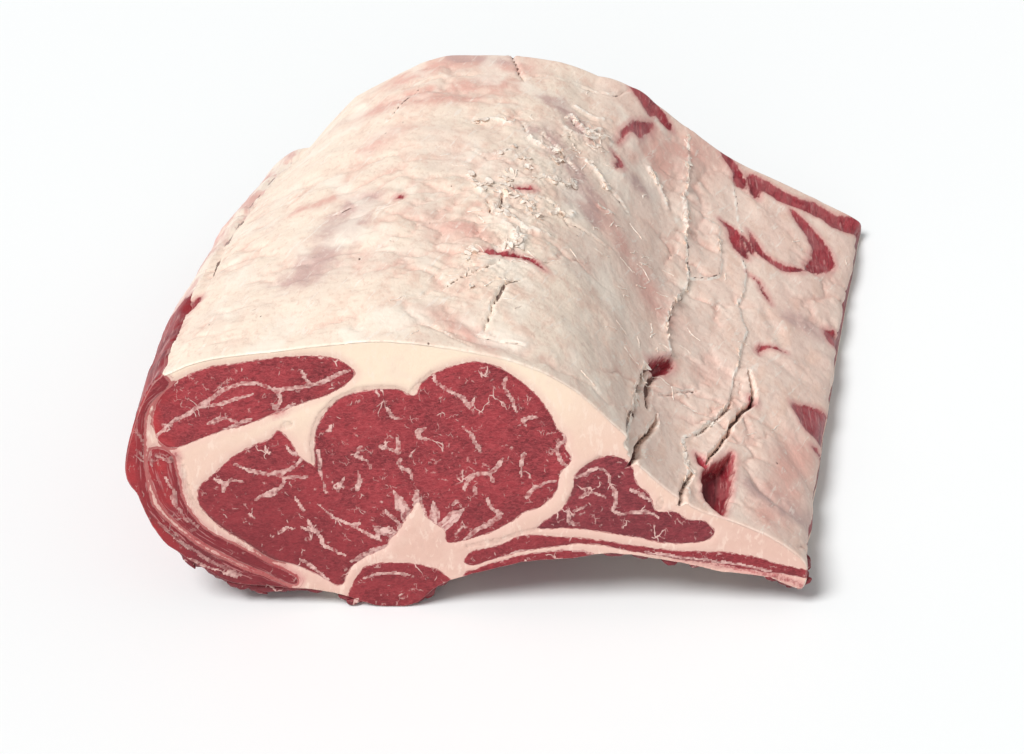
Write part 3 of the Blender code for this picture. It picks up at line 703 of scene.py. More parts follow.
def carved(name, body, steps):
    """A plain copy of the body after each (operation, cutter) in turn."""
    made = bpy.data.objects.new(name, body.data.copy())
    bpy.context.scene.collection.objects.link(made)
    for operation, cutter in steps:
        modifier = made.modifiers.new(operation, "BOOLEAN")
        modifier.operation = operation
        modifier.object = cutter
        modifier.solver = "MANIFOLD"
    bpy.context.view_layer.update()
    mesh = bpy.data.meshes.new_from_object(made.evaluated_get(bpy.context.evaluated_depsgraph_get()))
    made.modifiers.clear()
    made.data = mesh
    mesh.name = name
    return made


core = carved("core", skin_body, [("INTERSECT", front_slab), ("INTERSECT", back_slab)])
blanks = {name: blank(name) for name in MUSCLES}

# what every vertex is marked with, read from the nearest point of the skin or of a cut
skin_marks = {
    "vein": np.clip(VEIL_PER_MM * veil, NOT_DRAWN, MOST_VEIL), "bare": bare, "gouge_shade": gouge_shade, "edge": nothing - 8.0,
    "face": nothing, "blush_and_crease_shade": blush_and_crease_shade, "mauve": mauve, "flap_side": flap_side, "speck_and_crack_shade": speck_and_crack_shade, "lip": lip,
}  # fmt: skip
on_skin = (from_cut > 0.4).nonzero()[0]
marks = {key: np.concatenate([skin_marks[key][on_skin], front_marks[key], back_marks[key]]) for key in skin_marks}
marked_points = np.vstack([skin_points[on_skin], front_points, back_points]) * MM
nearest_mark = kdtree.KDTree(len(marked_points))
for index, point in enumerate(marked_points):
    nearest_mark.insert(point, index)
nearest_mark.balance()


def mark(piece):
    """Stores the marks on the piece's vertices, for its material to read."""
    found = [nearest_mark.find(vertex.co)[1] for vertex in piece.data.vertices]
    for key, values in marks.items():
        attribute = piece.data.attributes.new(key, "FLOAT", "POINT")
        attribute.data.foreach_set("value", values[found].astype(np.float32))


# The muscles as pieces: the eye, the cap muscle over it, the big muscle beside it, and the strips, bands and
# end pieces round them. Each is raw lean, cut across its grain at both ends; an earlier one is cut out of it.
class Value:
    """A socket of a tree of nodes that adds, multiplies and compares like a number."""

    def __init__(self, recipe, socket):
        self.recipe = recipe
        self.socket = socket

    def math(self, operation, *others):
        return self.recipe.node("ShaderNodeMath", {"operation": operation}, dict(enumerate((self, *others))))

    def __add__(self, other):
        return self.math("ADD", other)

    def __sub__(self, other):
        return self.math("SUBTRACT", other)

    def __mul__(self, other):
        return self.math("MULTIPLY", other)

    def __rsub__(self, other):
        return (self * -1.0) + other

    __radd__ = __add__
    __rmul__ = __mul__

    def ramp(self, low, high):
        """0 below low, 1 above high, smooth between."""
        values = {"Value": self, "From Min": low, "From Max": high, "To Min": 0.0, "To Max": 1.0}
        return self.recipe.node("ShaderNodeMapRange", {"interpolation_type": "SMOOTHSTEP"}, values)

    def max(self, other):
        return self.math("MAXIMUM", other)

    def min(self, other):
        return self.math("MINIMUM", other)


class Nodes:
    """A tree of nodes, grown one node at a time."""

    tree = None

    def node(self, kind, settings=None, values=None, out=0):
        made = self.tree.nodes.new(kind)
        for key, value in (settings or {}).items():
            setattr(made, key, value)
        for key, value in (values or {}).items():
            self.put(made.inputs[key], value)
        return Value(self, made.outputs[out])

    def vector(self, operation, first, second):
        """Vector Math on the two; SCALE takes a number second."""
        slot = "Scale" if operation == "SCALE" else 1
        return self.node("ShaderNodeVectorMath", {"operation": operation}, {0: first, slot: second})

    def put(self, socket, value):
        if isinstance(value, Value):
            self.tree.links.new(value.socket, socket)
        elif isinstance(value, tuple) and len(value) == 3 and socket.type == "RGBA":
            socket.default_value = (*value, 1.0)
        else:
            socket.default_value = value


class Recipe(Nodes):
    """One material and the nodes that it is made from."""

    def __init__(self, name):
        self.material = bpy.data.materials.new(name)
        self.material.use_nodes = True
        self.tree = self.material.node_tree
        self.shader = self.tree.nodes["Principled BSDF"]
        self.place = self.node("ShaderNodeTexCoord", out="Object")

    def mark(self, name):
        return self.node("ShaderNodeAttribute", {"attribute_name": name}, out="Fac")

    def millimetres(self, axis):
        return self.node("ShaderNodeSeparateXYZ", {}, {0: self.place}, axis) * 1000.0

    def spots(self, sizes, warp=0.0, detail=2.0, turn=(0.0, 0.0, 0.0)):
        """The place in units of the sizes in mm, the axes turned first, then warped by so many units."""
        turned = self.node("ShaderNodeMapping", {"vector_type": "POINT"}, {"Vector": self.place, "Rotation": turn})
        at = self.vector("MULTIPLY", turned, tuple(1 / (size * MM) for size in sizes))
        return self.warped(at, warp, detail) if warp else at

    def warped(self, at, amount, detail=2.0):
        shift = self.node("ShaderNodeTexNoise", {}, {"Vector": at, "Scale": 1.0, "Detail": detail}, out="Color")
        return self.vector("ADD", at, self.vector("SCALE", self.vector("SUBTRACT", shift, (0.5, 0.5, 0.5)), amount))

    def grain(self, sizes, detail=2.0, offset=0.0, roughness=0.5, **how):
        """Noise from 0 to 1 in lumps of the sizes in mm, or of one unit of a place given in their stead."""
        at = sizes if isinstance(sizes, Value) else self.spots(sizes, **how)
        values = {"Vector": at, "Scale": 1.0, "Detail": detail, "Roughness": roughness, "W": offset}
        return self.node("ShaderNodeTexNoise", {"noise_dimensions": "4D"}, values)

    def cells(self, sizes, warp, **turn):
        """A random tone for each cell of about the sizes in mm."""
        values = {"Vector": self.spots(sizes, warp, 3.0, **turn), "Scale": 1.0}
        return self.node("ShaderNodeTexVoronoi", {"feature": "F1"}, values, "Color")

    def web(self, sizes, warp):
        """How far the nearest border between such cells is."""
        values = {"Vector": self.spots(sizes, warp, 3.0), "Scale": 1.0}
        return self.node("ShaderNodeTexVoronoi", {"feature": "DISTANCE_TO_EDGE"}, values, "Distance")

    def layered(self, edge, per_mm):
        """Places that change fast with the distance from an outline and slowly along it."""
        across = self.node("ShaderNodeCombineXYZ", {}, {0: edge * per_mm, 1: edge * -per_mm, 2: edge * per_mm})
        return self.warped(self.vector("ADD", self.spots((12, 90, 12)), across), 1.5)

    def blend(self, share, first, second):
        return self.node("ShaderNodeMix", {"data_type": "RGBA"}, {0: share, 6: first, 7: second}, out=2)

    def coats(self, colour, *coats):
        """The colour under coats of others, each its share and its colour."""
        for share, coat in coats:
            colour = self.blend(share, colour, coat)
        return colour

    def finish(self, colour, roughness, height, depth, **constants):
        """Feeds the shader: height is in units of depth mm."""
        bump = self.node("ShaderNodeBump", {}, {"Height": height, "Distance": depth * MM, "Strength": 1.0})
        for key, value in (("Base Color", colour), ("Roughness", roughness), ("Normal", bump)):
            self.put(self.shader.inputs[key], value)
        for key, value in constants.items():
            self.shader.inputs[key.replace("_", " ")].default_value = value
        return self.material


def toned(colour, share):
    return tuple(share * part for part in colour)


def lean_colour(recipe, dark, deep, bright):
    """Raw lean: bundles of fibre with squiggly edges, mottled from dark to bright, and its marbling."""
    vein, face = recipe.mark("vein"), recipe.mark("face")
    threads = recipe.grain((2.0, 10.0, 0.8), 3.0, warp=1.7)
    bundles = recipe.cells((1.9, 22.0, 1.6), 1.9)
    shaded = recipe.cells((3.4, 30.0, 1.5), 2.6, turn=(0, 0.5, 0))
    colour = recipe.coats(
        recipe.blend(recipe.grain((15, 40, 15), 3.0).ramp(0.36, 0.62), dark, deep),
        ((0.5 - shaded).ramp(-0.05, 0.4) * 0.55, toned(dark, 0.55)),
        ((bundles - 0.5).ramp(-0.1, 0.5) * 0.35, bright),
        ((0.09 - recipe.web((3.4, 26.0, 1.4), 2.0)).ramp(0.0, 0.07) * 0.4 * face, toned(bright, 1.25)),
        (threads.ramp(0.53, 0.70) * 0.5, bright),
        ((1.0 - threads.ramp(0.28, 0.45)) * 0.42, toned(dark, 0.5)),
    )
    breaks = recipe.grain((8, 24, 8), 2.0, 3.0).ramp(0.58, 0.65)
    fleck = (0.05 - recipe.web((8.5, 40, 12), 1.5)).ramp(0.0, 0.045) * breaks
    fine_breaks = recipe.grain((4, 16, 4), 2.0, 8.0).ramp(0.57, 0.67)
    fine = (0.08 - recipe.web((3.2, 20, 4.6), 1.4)).ramp(0.0, 0.07) * fine_breaks * 0.5
    soft = recipe.grain((2.2, 8, 2.2), 2.0, 10.0)
    drawn = (vein + 0.02 + (soft - 0.5) * 0.5).ramp(-0.12, 0.13)
    return colour, (fleck.max(fine) * face).max(drawn), face, threads


def lean(name, dark=(0.19, 0.014, 0.021), deep=(0.32, 0.028, 0.037), bright=(0.45, 0.070, 0.078), reddened=0.0):
    recipe = Recipe(name)
    colour, fat_share, face, threads = lean_colour(recipe, dark, deep, bright)
    edge, speck_and_crack_shade, skin = recipe.mark("edge"), recipe.mark("speck_and_crack_shade"), 1.0 - face
    x, height_above = recipe.millimetres(0), recipe.millimetres(2)
    # painted shade: the cut faces darken towards their foot and towards their lower left
    colour = recipe.coats(
        colour,
        (height_above.ramp(75, 25) * 0.4 * face, dark),
        (x.ramp(-75, -125) * height_above.ramp(95, 60) * 0.35 * face, dark),
    )
    if reddened:
        patches = recipe.grain((12, 12, 12)).ramp(0.3, 0.6)
        colour = recipe.blend(x.ramp(-150, -172) * reddened * patches, colour, (0.50, 0.03, 0.033))
    marbling = recipe.blend(recipe.grain((2, 5, 2)), (0.71, 0.41, 0.37), (0.89, 0.63, 0.56))
    mauve = recipe.mark("mauve") * edge.ramp(5.0, 2.5) * face
    layers = recipe.grain(recipe.layered(edge, 0.6), 2.0, 14.0)
    ragged = (edge + (recipe.grain((2.8, 6, 2.8), 2.0, 6.0) - 0.5) * 1.6).ramp(0.0, 0.4)
    thick = recipe.grain((9, 30, 9), 3.0, 19.0, warp=1.0)
    veil = recipe.blend(thick.ramp(0.36, 0.60), (0.74, 0.44, 0.38), (0.93, 0.81, 0.68))
    veiled = (recipe.mark("vein") + (thick - 0.5) * 1.2).ramp(0.1, 0.5) * skin
    film = recipe.grain((7, 34, 7), 4.0, 2.0, warp=1.2).ramp(0.54, 0.68)
    strands = recipe.grain((1.6, 40, 2.4), 3.0, 4.0, warp=1.0).ramp(0.56, 0.68)
    colour = recipe.coats(
        colour,
        (fat_share * 0.92, marbling),
        (mauve * 0.5, (0.19, 0.013, 0.02)),
        (mauve * layers.ramp(0.56, 0.64) * 0.55, (0.56, 0.25, 0.24)),
        (mauve * (1.0 - layers.ramp(0.30, 0.42)) * 0.6, (0.10, 0.008, 0.013)),
        ((1.0 - ragged) * 0.7 * face * (1.0 - mauve * 0.6), (0.70, 0.43, 0.38)),
        (veiled * 0.9, veil),
        (film * (0.5 - veiled * 0.2) * skin, (0.50, 0.23, 0.22)),
        (strands * 0.45 * skin, (0.62, 0.36, 0.33)),
        # painted shade in the cracks and creases, and dark specks
        ((speck_and_crack_shade + (threads - 0.5) * 0.5).ramp(-0.15, 0.15) * 0.6, (0.12, 0.035, 0.035)),
    )
    roughness = 0.40 + threads * 0.14 - fat_share * 0.04
    shine = {"Coat_Weight": 0.06, "Coat_Roughness": 0.28, "Specular_IOR_Level": 0.3}
    return recipe.finish(colour, roughness, threads * 0.6 + fat_share * 0.4, 0.4, **shine)


def finished(piece, node_name, material, sharp_from):
    """Gives the carved piece its marks, its material and its place on the body."""
    mark(piece)
    piece.data.materials.clear()
    piece.data.materials.append(material)
    piece.data.shade_smooth()
    piece.data.set_sharp_from_angle(angle=math.radians(sharp_from))
    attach(piece, "root")
    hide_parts(node_name)


crimson = lean("crimson_lean")
reddest = lean("fresh_cut_lean", reddened=0.85)
darker = lean("dark_lean", (0.15, 0.014, 0.022), (0.24, 0.026, 0.036), (0.35, 0.058, 0.068))
side_lean = lean("bared_side_lean", (0.17, 0.014, 0.022), (0.27, 0.024, 0.032), (0.37, 0.055, 0.062), 0.5)
for node_name, piece_name, slot, material, before in (
    ("eye_muscle", "rib_eye", "lean", crimson, ()),
    ("cap_muscle", "rib_cap", "lean", reddest, ()),
    ("flap_muscle", "flap_end_muscle", "dark_lean", darker, ()),
    ("under_muscle", "chain_trim", "lean", crimson, ()),
    ("upper_rib_strip", "upper_rib_meat", "lean", crimson, ()),
    ("lower_rib_strip", "lower_rib_meat", "dark_lean", crimson, ("upper_rib_strip",)),
    ("complex_muscle", "neck_muscle", "lean", crimson, ("eye_muscle", "under_muscle")),
    ("inner_side_muscle", "inner_side_band", "lean", reddest, ("cap_muscle", "complex_muscle")),
    ("outer_side_muscle", "outer_side_band", "dark_lean", side_lean, ("inner_side_muscle", "cap_muscle")),
):
    steps = [("DIFFERENCE", blanks[other]) for other in before] + [("INTERSECT", core)]
    finished(carved(piece_name, blanks[node_name], steps), node_name, material, 50)

# The fat: the cap with the seams that reach down between the muscles, and the flap's fat. It is cream where it
# is thick, painted lighter where lit and darker on its right slope, with painted shade in its creases, cracks
# and gouges; pinker and greyer where a dry membrane or lean shows through, with lean bared in places.
FLAP_SIDE = (
    (-25, -14), (-25, 18), (-23, 27), (-14, 35), (0, 42), (14, 45), (40, 70), (54, 79), (74, 99), (165, 99), (165, -14),
)  # fmt: skip
FISSURE_FOOT = 75.0
FISSURE_DRIFT = ((0, 0), (0.22, 9), (0.34, 16), (0.55, 20), (0.75, 15), (1, 10))  # share of the length, mm


def flap_side_blank():
    """A body round everything right of the fissure between the cap and the flap."""
    outline = np.array(FLAP_SIDE, float)
    drifting = (outline[:, 1] > FISSURE_FOOT)[:, None] * np.array((1, -1))
    rings = []
    for y in np.linspace(-BLANK_REACH, LENGTH + BLANK_REACH, BLANK_ROWS):
        share = np.clip(y / LENGTH, 0, 1)
        x, z = section_at(*(outline + drifting * along(FISSURE_DRIFT, share)).T, y / LENGTH)
        rings.append(in_row(x, y + CUT_LEAN * z * (1 - share), z))
    return tube("flap_side_blank", np.vstack(rings), len(outline))


def fat_material(name):
    recipe = Recipe(name)
    bare, gouge_shade, edge, face = (recipe.mark(key) for key in ("bare", "gouge_shade", "edge", "face"))
    blush_and_crease_shade, mauve, flap, speck_and_crack_shade, lip = (recipe.mark(key) for key in ("blush_and_crease_shade", "mauve", "flap_side", "speck_and_crack_shade", "lip"))
    skin = 1.0 - face
    x, height_above = recipe.millimetres(0), recipe.millimetres(2)
    broad = recipe.grain((30, 44, 30))
    patchy = recipe.grain((10, 16, 10), 3.0, 1.0, 0.6, warp=1.2)
    mottle = recipe.grain((2.6, 3.8, 2.6), 3.0, 2.0, 0.65)
    wisps = recipe.grain((2.2, 15, 6), 3.0, 3.0, warp=1.9, turn=(0, 0, 0.42))
    bright = recipe.grain((26, 38, 26), 2.0, 15.0, warp=1.0)
    soft = recipe.grain((2.6, 8, 2.6), 2.0, 17.0)
    pale = recipe.grain((1.3, 14, 2), 3.0, 7.0, warp=0.8)
    feather = recipe.grain((1.5, 11, 3), 3.0, 9.0, warp=1.0, turn=(0, 0, 0.35))
    layers = recipe.grain(recipe.layered(edge, 1.5), 3.0, 12.0)
    surface = recipe.coats(
        # lighter cream on the left and darker beige towards the right: partly the fat's tone, partly painted light on
        # the lit left and painted shade on the right slope
        recipe.blend(x.ramp(5, 60) * 0.75, (0.915, 0.76, 0.625), (0.855, 0.64, 0.545)),
        (flap, (0.89, 0.685, 0.58)),
        (flap * x.ramp(100, 130) * 0.35, (0.78, 0.53, 0.45)),
        (patchy.ramp(0.46, 0.66) * (x.ramp(-120, -50) * 0.45 + 0.2) * skin, (0.83, 0.575, 0.46)),
        (broad.ramp(0.50, 0.7) * 0.35 * skin, (0.76, 0.595, 0.52)),
        # pink blush spots, and painted shade along the creases between lumps
        ((blush_and_crease_shade * (patchy * 2.0 - 0.2)).min(0.85) * skin, (0.76, 0.42, 0.35)),
        ((mauve * (patchy * 2.2 - 0.35)).ramp(0.0, 1.0).min(0.85) * skin, (0.58, 0.385, 0.35)),
        ((1.0 - mottle.ramp(0.36, 0.48)) * 0.32 * skin, (0.66, 0.43, 0.35)),
        (mottle.ramp(0.56, 0.70) * 0.3 * skin, (0.93, 0.84, 0.74)),
        (bright.ramp(0.50, 0.66) * 0.6 * skin * (1.0 - flap * 0.6), (0.975, 0.875, 0.755)),
        (wisps.ramp(0.58, 0.70) * 0.5 * skin, (0.94, 0.86, 0.77)),
    )
    cut = recipe.coats(
        recipe.blend(height_above.ramp(78, 114), (0.81, 0.56, 0.45), (0.90, 0.725, 0.56)),
        (x.ramp(-10, 45) * 0.85, (0.80, 0.55, 0.44)),
        (height_above.ramp(60, 38) * 0.75, (0.70, 0.44, 0.365)),
        (edge.ramp(-5.0, -0.2) * 0.7, (0.78, 0.51, 0.43)),
        (patchy.ramp(0.45, 0.7) * 0.3, (0.84, 0.62, 0.52)),
        (mauve * edge.ramp(-6.0, -3.0) * (layers.ramp(0.40, 0.60) * 0.6 + 0.2), (0.60, 0.29, 0.27)),
        (mauve * (1.0 - layers.ramp(0.36, 0.47)) * 0.8 * edge.ramp(-5.0, -2.0), (0.30, 0.035, 0.042)),
        (wisps.ramp(0.54, 0.66) * 0.4, (0.93, 0.75, 0.64)),
    )
    flesh = recipe.coats(
        lean_colour(recipe, (0.22, 0.016, 0.026), (0.37, 0.030, 0.044), (0.52, 0.09, 0.10))[0],
        (pale.ramp(0.55, 0.68) * 0.45, (0.70, 0.36, 0.34)),
        ((1.0 - feather.ramp(0.34, 0.46)) * 0.4, (0.16, 0.010, 0.017)),
        (patchy.ramp(0.40, 0.62) * 0.4, (0.54, 0.17, 0.17)),
    )
    ragged = bare + (mottle - 0.5) * 2.5 + (feather - 0.5) * 3.0
    spilt = (edge + 0.25 + mauve * 1.0 + (soft - 0.5) * 2.2).ramp(0.0, 0.4) * face
    # painted shade in the cracks, fissures and furrow and at the foot of each plate step, with the fat's own dark
    # specks
    speck_and_crack_shade_share = (speck_and_crack_shade + (mottle - 0.5) * 1.6 * skin + (soft - 0.5) * 0.4 * face).ramp(-0.1, 0.35)
    colour = recipe.coats(
        surface,
        (face, cut),
        (lip.ramp(0.2, 0.9) * mottle.ramp(0.36, 0.54) * 0.85, (0.98, 0.91, 0.82)),
        (ragged.ramp(-4.2, 0.1) * 0.7, (0.66, 0.31, 0.28)),
        (ragged.ramp(-0.7, 0.8), flesh),
        (spilt * 0.8, (0.36, 0.045, 0.05)),
        # painted shade: near black deep inside each gouge
        (gouge_shade.ramp(0.3, 0.95) * 0.75, (0.10, 0.02, 0.022)),
        # painted shade in the cracks, with dark specks
        (speck_and_crack_shade_share * (0.9 - 0.3 * face), (0.15, 0.07, 0.055)),
    )
    height = mottle * 0.45 + wisps * 0.5 * skin + patchy * 1.0 * skin + lip * 0.4 - speck_and_crack_shade_share * 1.0
    roughness = 0.50 + mottle * 0.12 - ragged.ramp(-0.2, 0.3) * 0.14
    shine = {"Coat_Weight": 0.06, "Coat_Roughness": 0.35, "Specular_IOR_Level": 0.35}
    return recipe.finish(colour, roughness, height, 0.5, **shine)


flap_side_body = flap_side_blank()
beef_fat = fat_material("beef_fat")
for piece_name, node_name, operation in (
    ("thick_fat_cap", "fat_cap", "DIFFERENCE"),
    ("flap_fat_sheet", "flap_fat", "INTERSECT"),
):
    steps = [(operation, flap_side_body)] + [("DIFFERENCE", blanks[name]) for name in MUSCLES]
    finished(carved(piece_name, core, steps), node_name, beef_fat, 55)

for scrap in (skin_body, front_slab, back_slab, core, flap_side_body, *blanks.values()):
    bpy.data.objects.remove(scrap)

# Fine fibres of connective tissue that lie over the torn part of the cap and the flap. Each is a thin thread
# that wanders across the surface and is half sunk in it.
THREADS, THREAD_POINTS, THREAD_STEP, THREAD_RADIUS, THREAD_SIDES = 90, 8, 1.0, 0.36, 5
THREADS_NEAR, NEAR_WIDTH = ((24, 78), (44, 10), (60, -70)), 24
OFF_SURFACE = 1.2
facing_up = (outward[:, 2] > 0.25) & (from_cut > 6)
up_points = skin_points[facing_up]
plan = kdtree.KDTree(len(up_points))
for index, (x, y, _) in enumerate(up_points):
    plan.insert((x, y, 0), index)
plan.balance()


def laid_on(places):
    """The points of the surface under each (x, y)."""
    found = []
    for x, y in places:
        near = plan.find_n((x, y, 0), 4)
        weights = np.array([1 / (gap + 0.05) for _, _, gap in near])
        heights = up_points[[index for _, index, _ in near], 2]
        found.append((x, y, (heights * weights).sum() / weights.sum()))
    return found


class Tree(Nodes):
    """A Geometry Nodes tree with named inputs."""

    def __init__(self, name, material, **inputs):
        self.tree = bpy.data.node_groups.new(name, "GeometryNodeTree")
        self.material = material
        for way in ("INPUT", "OUTPUT"):
            self.tree.interface.new_socket("Geometry", in_out=way, socket_type="NodeSocketGeometry")
        self.inputs = {}
        for key, value in inputs.items():
            kind = "NodeSocketInt" if isinstance(value, int) else "NodeSocketFloat"
            socket = self.tree.interface.new_socket(key, in_out="INPUT", socket_type=kind)
            self.inputs[socket.identifier] = value
        self.entry = self.tree.nodes.new("NodeGroupInput")

    def given(self, name):
        return Value(self, self.entry.outputs[name])

    def random(self, low, high, seed, vector=False):
        settings = {"data_type": "FLOAT_VECTOR" if vector else "FLOAT"}
        first = 0 if vector else 2
        values = {first: low, first + 1: high, 8: seed}
        return self.node("FunctionNodeRandomValue", settings, values, out=0 if vector else 1)

    def scattered(self, points, shape, low, high, tilt, seed):
        """The shape at every point, each copy turned and sized at random, as one plain mesh."""
        rotation = Value(self, points.socket.node.outputs["Rotation"])
        size = self.random(low, high, seed, vector=True)
        values = {"Points": points, "Instance": shape, "Rotation": rotation, "Scale": size}
        copies = self.node("GeometryNodeInstanceOnPoints", {}, values)
        turn = self.random((-tilt, -tilt, -math.pi), (tilt, tilt, math.pi), seed + 1, vector=True)
        copies = self.node("GeometryNodeRotateInstances", {}, {"Instances": copies, "Rotation": turn})
        return self.node("GeometryNodeRealizeInstances", {}, {"Geometry": copies})

    def roughened(self, shape, lump, depth):
        """The mesh with every point pushed about by up to depth, in lumps of that size in mm."""
        values = {"Vector": self.node("GeometryNodeInputPosition"), "Scale": 1 / (lump * MM), "Detail": 1.0}
        push = self.node("ShaderNodeTexNoise", {}, values, out="Color")
        push = self.vector("SCALE", self.vector("SUBTRACT", push, (0.5, 0.5, 0.5)), depth * 2 * MM)
        return self.node("GeometryNodeSetPosition", {}, {"Geometry": shape, "Offset": push})

    def grow(self, name, shape, base, slot):
        """Ends the tree and runs it on the base object, which becomes the finished plain piece."""
        shape = self.node("GeometryNodeSetShadeSmooth", {}, {"Geometry": shape})
        shape = self.node("GeometryNodeSetMaterial", {}, {"Geometry": shape, "Material": self.material})
        self.put(self.tree.nodes.new("NodeGroupOutput").inputs[0], shape)
        modifier = base.modifiers.new(name, "NODES")
        modifier.node_group = self.tree
        for key, value in self.inputs.items():
            modifier[key] = value
        bpy.context.view_layer.update()
        mesh = bpy.data.meshes.new_from_object(base.evaluated_get(bpy.context.evaluated_depsgraph_get()))
        base.modifiers.clear()
        base.data = mesh
        base.name = mesh.name = name
        if not mesh.materials:
            mesh.materials.append(self.material)
        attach(base, "root")
        return base


def membrane_material():
    """Dry white membrane, faintly pink where it is thin."""
    recipe = Recipe("dry_membrane")
    tone = recipe.grain((2.2, 4.0, 2.2), 3.0)
    colour = recipe.blend(tone.ramp(0.3, 0.7), (0.80, 0.63, 0.52), (0.95, 0.87, 0.78))
    return recipe.finish(colour, 0.45 + tone * 0.15, tone, 0.15)


def steps_from(first, count):
    """The edges that join count points in turn, numbered from first."""
    return [(here, here + 1) for here in range(first, first + count - 1)]


membrane = membrane_material()
draw = np.random.default_rng(7)
likely = torn + 0.5 * ridge(to_line(seen_from_above, THREADS_NEAR, 60), NEAR_WIDTH) + 0.06
likely = (likely * (1 - smoothstep(-2, 0, bare)) * smoothstep(-90, -60, skin_points[:, 0]))[facing_up]
starts = draw.choice(len(up_points), THREADS, p=likely / likely.sum())
paths, runs = [], []
for start in starts:
    heading = draw.normal(0.9, 0.7) + math.pi * draw.integers(2)
    place = up_points[start, :2].copy()
    walked = []
    for _ in range(int(THREAD_POINTS * draw.uniform(0.4, 1.0)) + 3):
        if plan.find((*place, 0))[2] > OFF_SURFACE:
            break
        walked.append(place.copy())
        heading += draw.normal(0, 0.22)
        place += THREAD_STEP * np.array((math.cos(heading), math.sin(heading)))
    runs.extend(steps_from(len(paths), len(walked)))
    paths.extend(laid_on(walked))
thread_paths = as_object("thread_paths", paths, edges=runs)
tree = Tree("fibres_along_paths", membrane, Radius=THREAD_RADIUS * MM, Sides=THREAD_SIDES)
line = tree.node("GeometryNodeMeshToCurve", {}, {"Mesh": tree.given("Geometry")})
values = {"Radius": tree.given("Radius"), "Resolution": tree.given("Sides")}
profile = tree.node("GeometryNodeCurvePrimitiveCircle", {}, values)
values = {"Curve": line, "Profile Curve": profile, "Scale": tree.random(0.45, 1.25, 3), "Fill Caps": True}
tree.grow("connective_threads", tree.node("GeometryNodeCurveToMesh", {}, values), thread_paths, "fat")

# Scraps of membrane that have come loose: small curled flakes along the torn edges of the plates and over the
# torn part of the cap.
FLAKES_PER_CM2, FLAKE_SIZE, FLAKE_CURL, LOOSE_OVER = 13.0, (2.5, 1.5, 0.14), 0.5, 0.38
loose = np.maximum(1.1 * lip, 0.6 * torn * (noise(skin_points, 9, 201) > 0.2))
loose = loose * (from_cut > 4) * (outward[:, 2] > 0.2) * (bare < -1)
patch = squares(np.arange(len(skin_points)).reshape(ring_x.shape))
patch = patch[(loose[patch] > LOOSE_OVER).all(axis=1)]
used, patch = np.unique(patch, return_inverse=True)
edges_of_plates = as_object("edges_of_plates", skin_points[used], patch.reshape(-1, 4).tolist())
tree = Tree("curled_flakes", membrane, Density=FLAKES_PER_CM2 * 1e4, Seed=11)
values = {"Mesh": tree.given("Geometry"), "Density": tree.given("Density"), "Seed": tree.given("Seed")}
points = tree.node("GeometryNodeDistributePointsOnFaces", {}, values, "Points")
ball = tree.node("GeometryNodeMeshIcoSphere", {}, {"Radius": 1.0, "Subdivisions": 2})
at = tree.node("GeometryNodeInputPosition")
across = tree.node("ShaderNodeSeparateXYZ", {}, {0: at})
curl = tree.node("ShaderNodeCombineXYZ", {}, {"Z": across * across * (FLAKE_CURL * MM)})
bent = tree.vector("ADD", tree.vector("MULTIPLY", at, tuple(size * MM for size in FLAKE_SIZE)), curl)
flake = tree.node("GeometryNodeSetPosition", {}, {"Geometry": ball, "Position": bent})
flakes = tree.scattered(points, flake, (0.4, 0.35, 0.7), (1.6, 1.3, 1.2), 0.16, 21)
tree.grow("torn_flakes", tree.roughened(flakes, 1.6, 0.28), edges_of_plates, "fat")

# Ragged trimmings of lean that hang along the lower edges of the cuts and at the flap's tip, where the rib
# side was cut free.
TRIM_EDGES = (
    ((-150, 31), (-145, 26), (-140, 22), (-134, 19), (-126, 14)),
    ((-134, 18), (-126, 12), (-118, 9), (-108, 8), (-100, 9), (-92, 9)),
    ((-74, 4), (-66, 2), (-54, 1), (-44, 1), (-38, 6), (-34, 10)),
    ((34, 29), (60, 27), (84, 22), (104, 19), (118, 16)), ((112, 17), (122, 14), (129, 11), (130, 14)),
)  # fmt: skip
TRIM_LAYERS = ((0.01, 4.0), (0.02, 7.5), (0.04, 12.0), (0.06, 18.0))  # share of length, mm behind the cut
LOWEST_TRIM, TRIM_INSIDE_BOX = 2.6, 0.3
TRIM_MARKS = {"face": 1.0, "edge": 6.0, "vein": NOT_DRAWN, "speck_and_crack_shade": NOT_DRAWN, "mauve": 0.0}
paths, runs = [], []
for edge in TRIM_EDGES:
    line = smooth_curve(edge, False, 8)
    for share, inset in TRIM_LAYERS:
        x, z = section_at(*line.T, share)
        z = np.maximum(z, LOWEST_TRIM)
        runs.extend(steps_from(len(paths), len(line)))
        paths.extend(in_row(x, inset + CUT_LEAN * z, z))
trim_lines = as_object("trim_lines", paths, edges=runs)
tree = Tree("ragged_shreds", darker, Count=8)
line = tree.node("GeometryNodeMeshToCurve", {}, {"Mesh": tree.given("Geometry")})
points = tree.node("GeometryNodeCurveToPoints", {}, {"Curve": line, "Count": tree.given("Count")}, "Points")
lump = tree.node("GeometryNodeMeshIcoSphere", {}, {"Radius": 1.0 * MM, "Subdivisions": 3})
shreds = tree.scattered(points, lump, (1.8, 1.6, 4.0), (3.4, 2.8, 9.0), 0.45, 31)
shreds = tree.grow("ragged_trimmings", tree.roughened(shreds, 5.0, 1.7), trim_lines, "dark_lean")
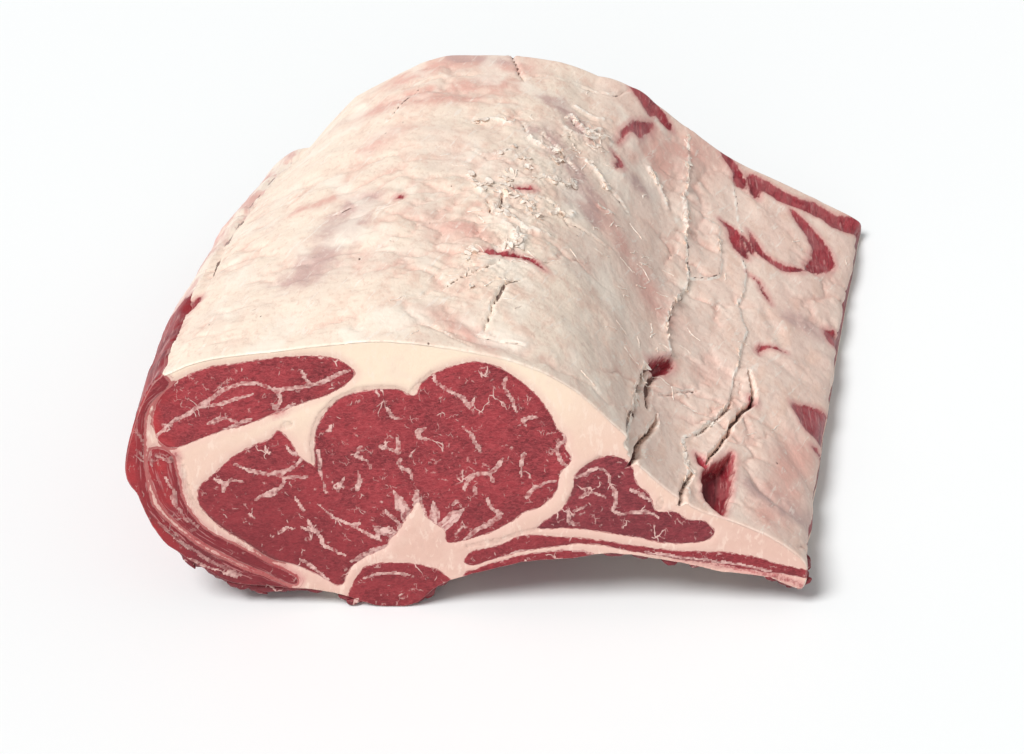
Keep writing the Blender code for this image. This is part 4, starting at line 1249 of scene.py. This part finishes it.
lowest, highest = np.array(CAD_BOX) + ((TRIM_INSIDE_BOX * MM,), (-TRIM_INSIDE_BOX * MM,))
for vertex in shreds.data.vertices:
    vertex.co = np.clip(vertex.co, lowest, highest)
for key, value in TRIM_MARKS.items():
    attribute = shreds.data.attributes.new(key, "FLOAT", "POINT")
    attribute.data.foreach_set("value", [value] * len(shreds.data.vertices))

# The table, the light and the camera: a plain white surface, a wide soft light from the upper left and a
# weaker one from the front.
TABLE = ((-4000, -3000, 0), (4000, -3000, 0), (4000, 5000, 0), (-4000, 5000, 0))
TABLE_LOOK = {"Base Color": (0.86, 0.875, 0.875, 1), "Roughness": 0.8, "Specular IOR Level": 0.1}
table = as_object("table", TABLE, [(0, 1, 2, 3)])
white = bpy.data.materials.new("white_table")
white.use_nodes = True
for key, value in TABLE_LOOK.items():
    white.node_tree.nodes["Principled BSDF"].inputs[key].default_value = value
table.data.materials.append(white)


def soft_light(name, away, spread, strength):
    """A light so wide and far off that it falls evenly, from the direction (x, y, z)."""
    light = bpy.data.lights.new(name, "SUN")
    light.angle = math.radians(spread)
    light.energy = strength
    lamp = bpy.data.objects.new(name, light)
    lamp.location = away
    x, y, z = away
    lamp.rotation_euler = (math.atan2(math.hypot(x, y), z), 0, math.atan2(y, x) + math.pi / 2)
    bpy.context.scene.collection.objects.link(lamp)


soft_light("key_light", (-0.46, -0.32, 0.83), 27, 2.85)
soft_light("front_light", (-0.10, -0.95, 0.30), 50, 0.62)
world = bpy.data.worlds.new("studio")
world.use_nodes = True
world.node_tree.nodes["Background"].inputs["Color"].default_value = (1, 1, 1, 1)
world.node_tree.nodes["Background"].inputs["Strength"].default_value = 0.33
bpy.context.scene.world = world
bpy.context.scene.view_settings.view_transform = "Standard"

camera = bpy.data.cameras.new("camera")
camera.lens = 91.6
camera.sensor_width = 36
camera.clip_end = 20
camera_stand = bpy.data.objects.new("camera", camera)
camera_stand.location = (-0.0114, -1.067, 0.7633)
camera_stand.rotation_euler = (math.radians(55), 0, 0)
bpy.context.scene.collection.objects.link(camera_stand)
bpy.context.scene.camera = camera_stand
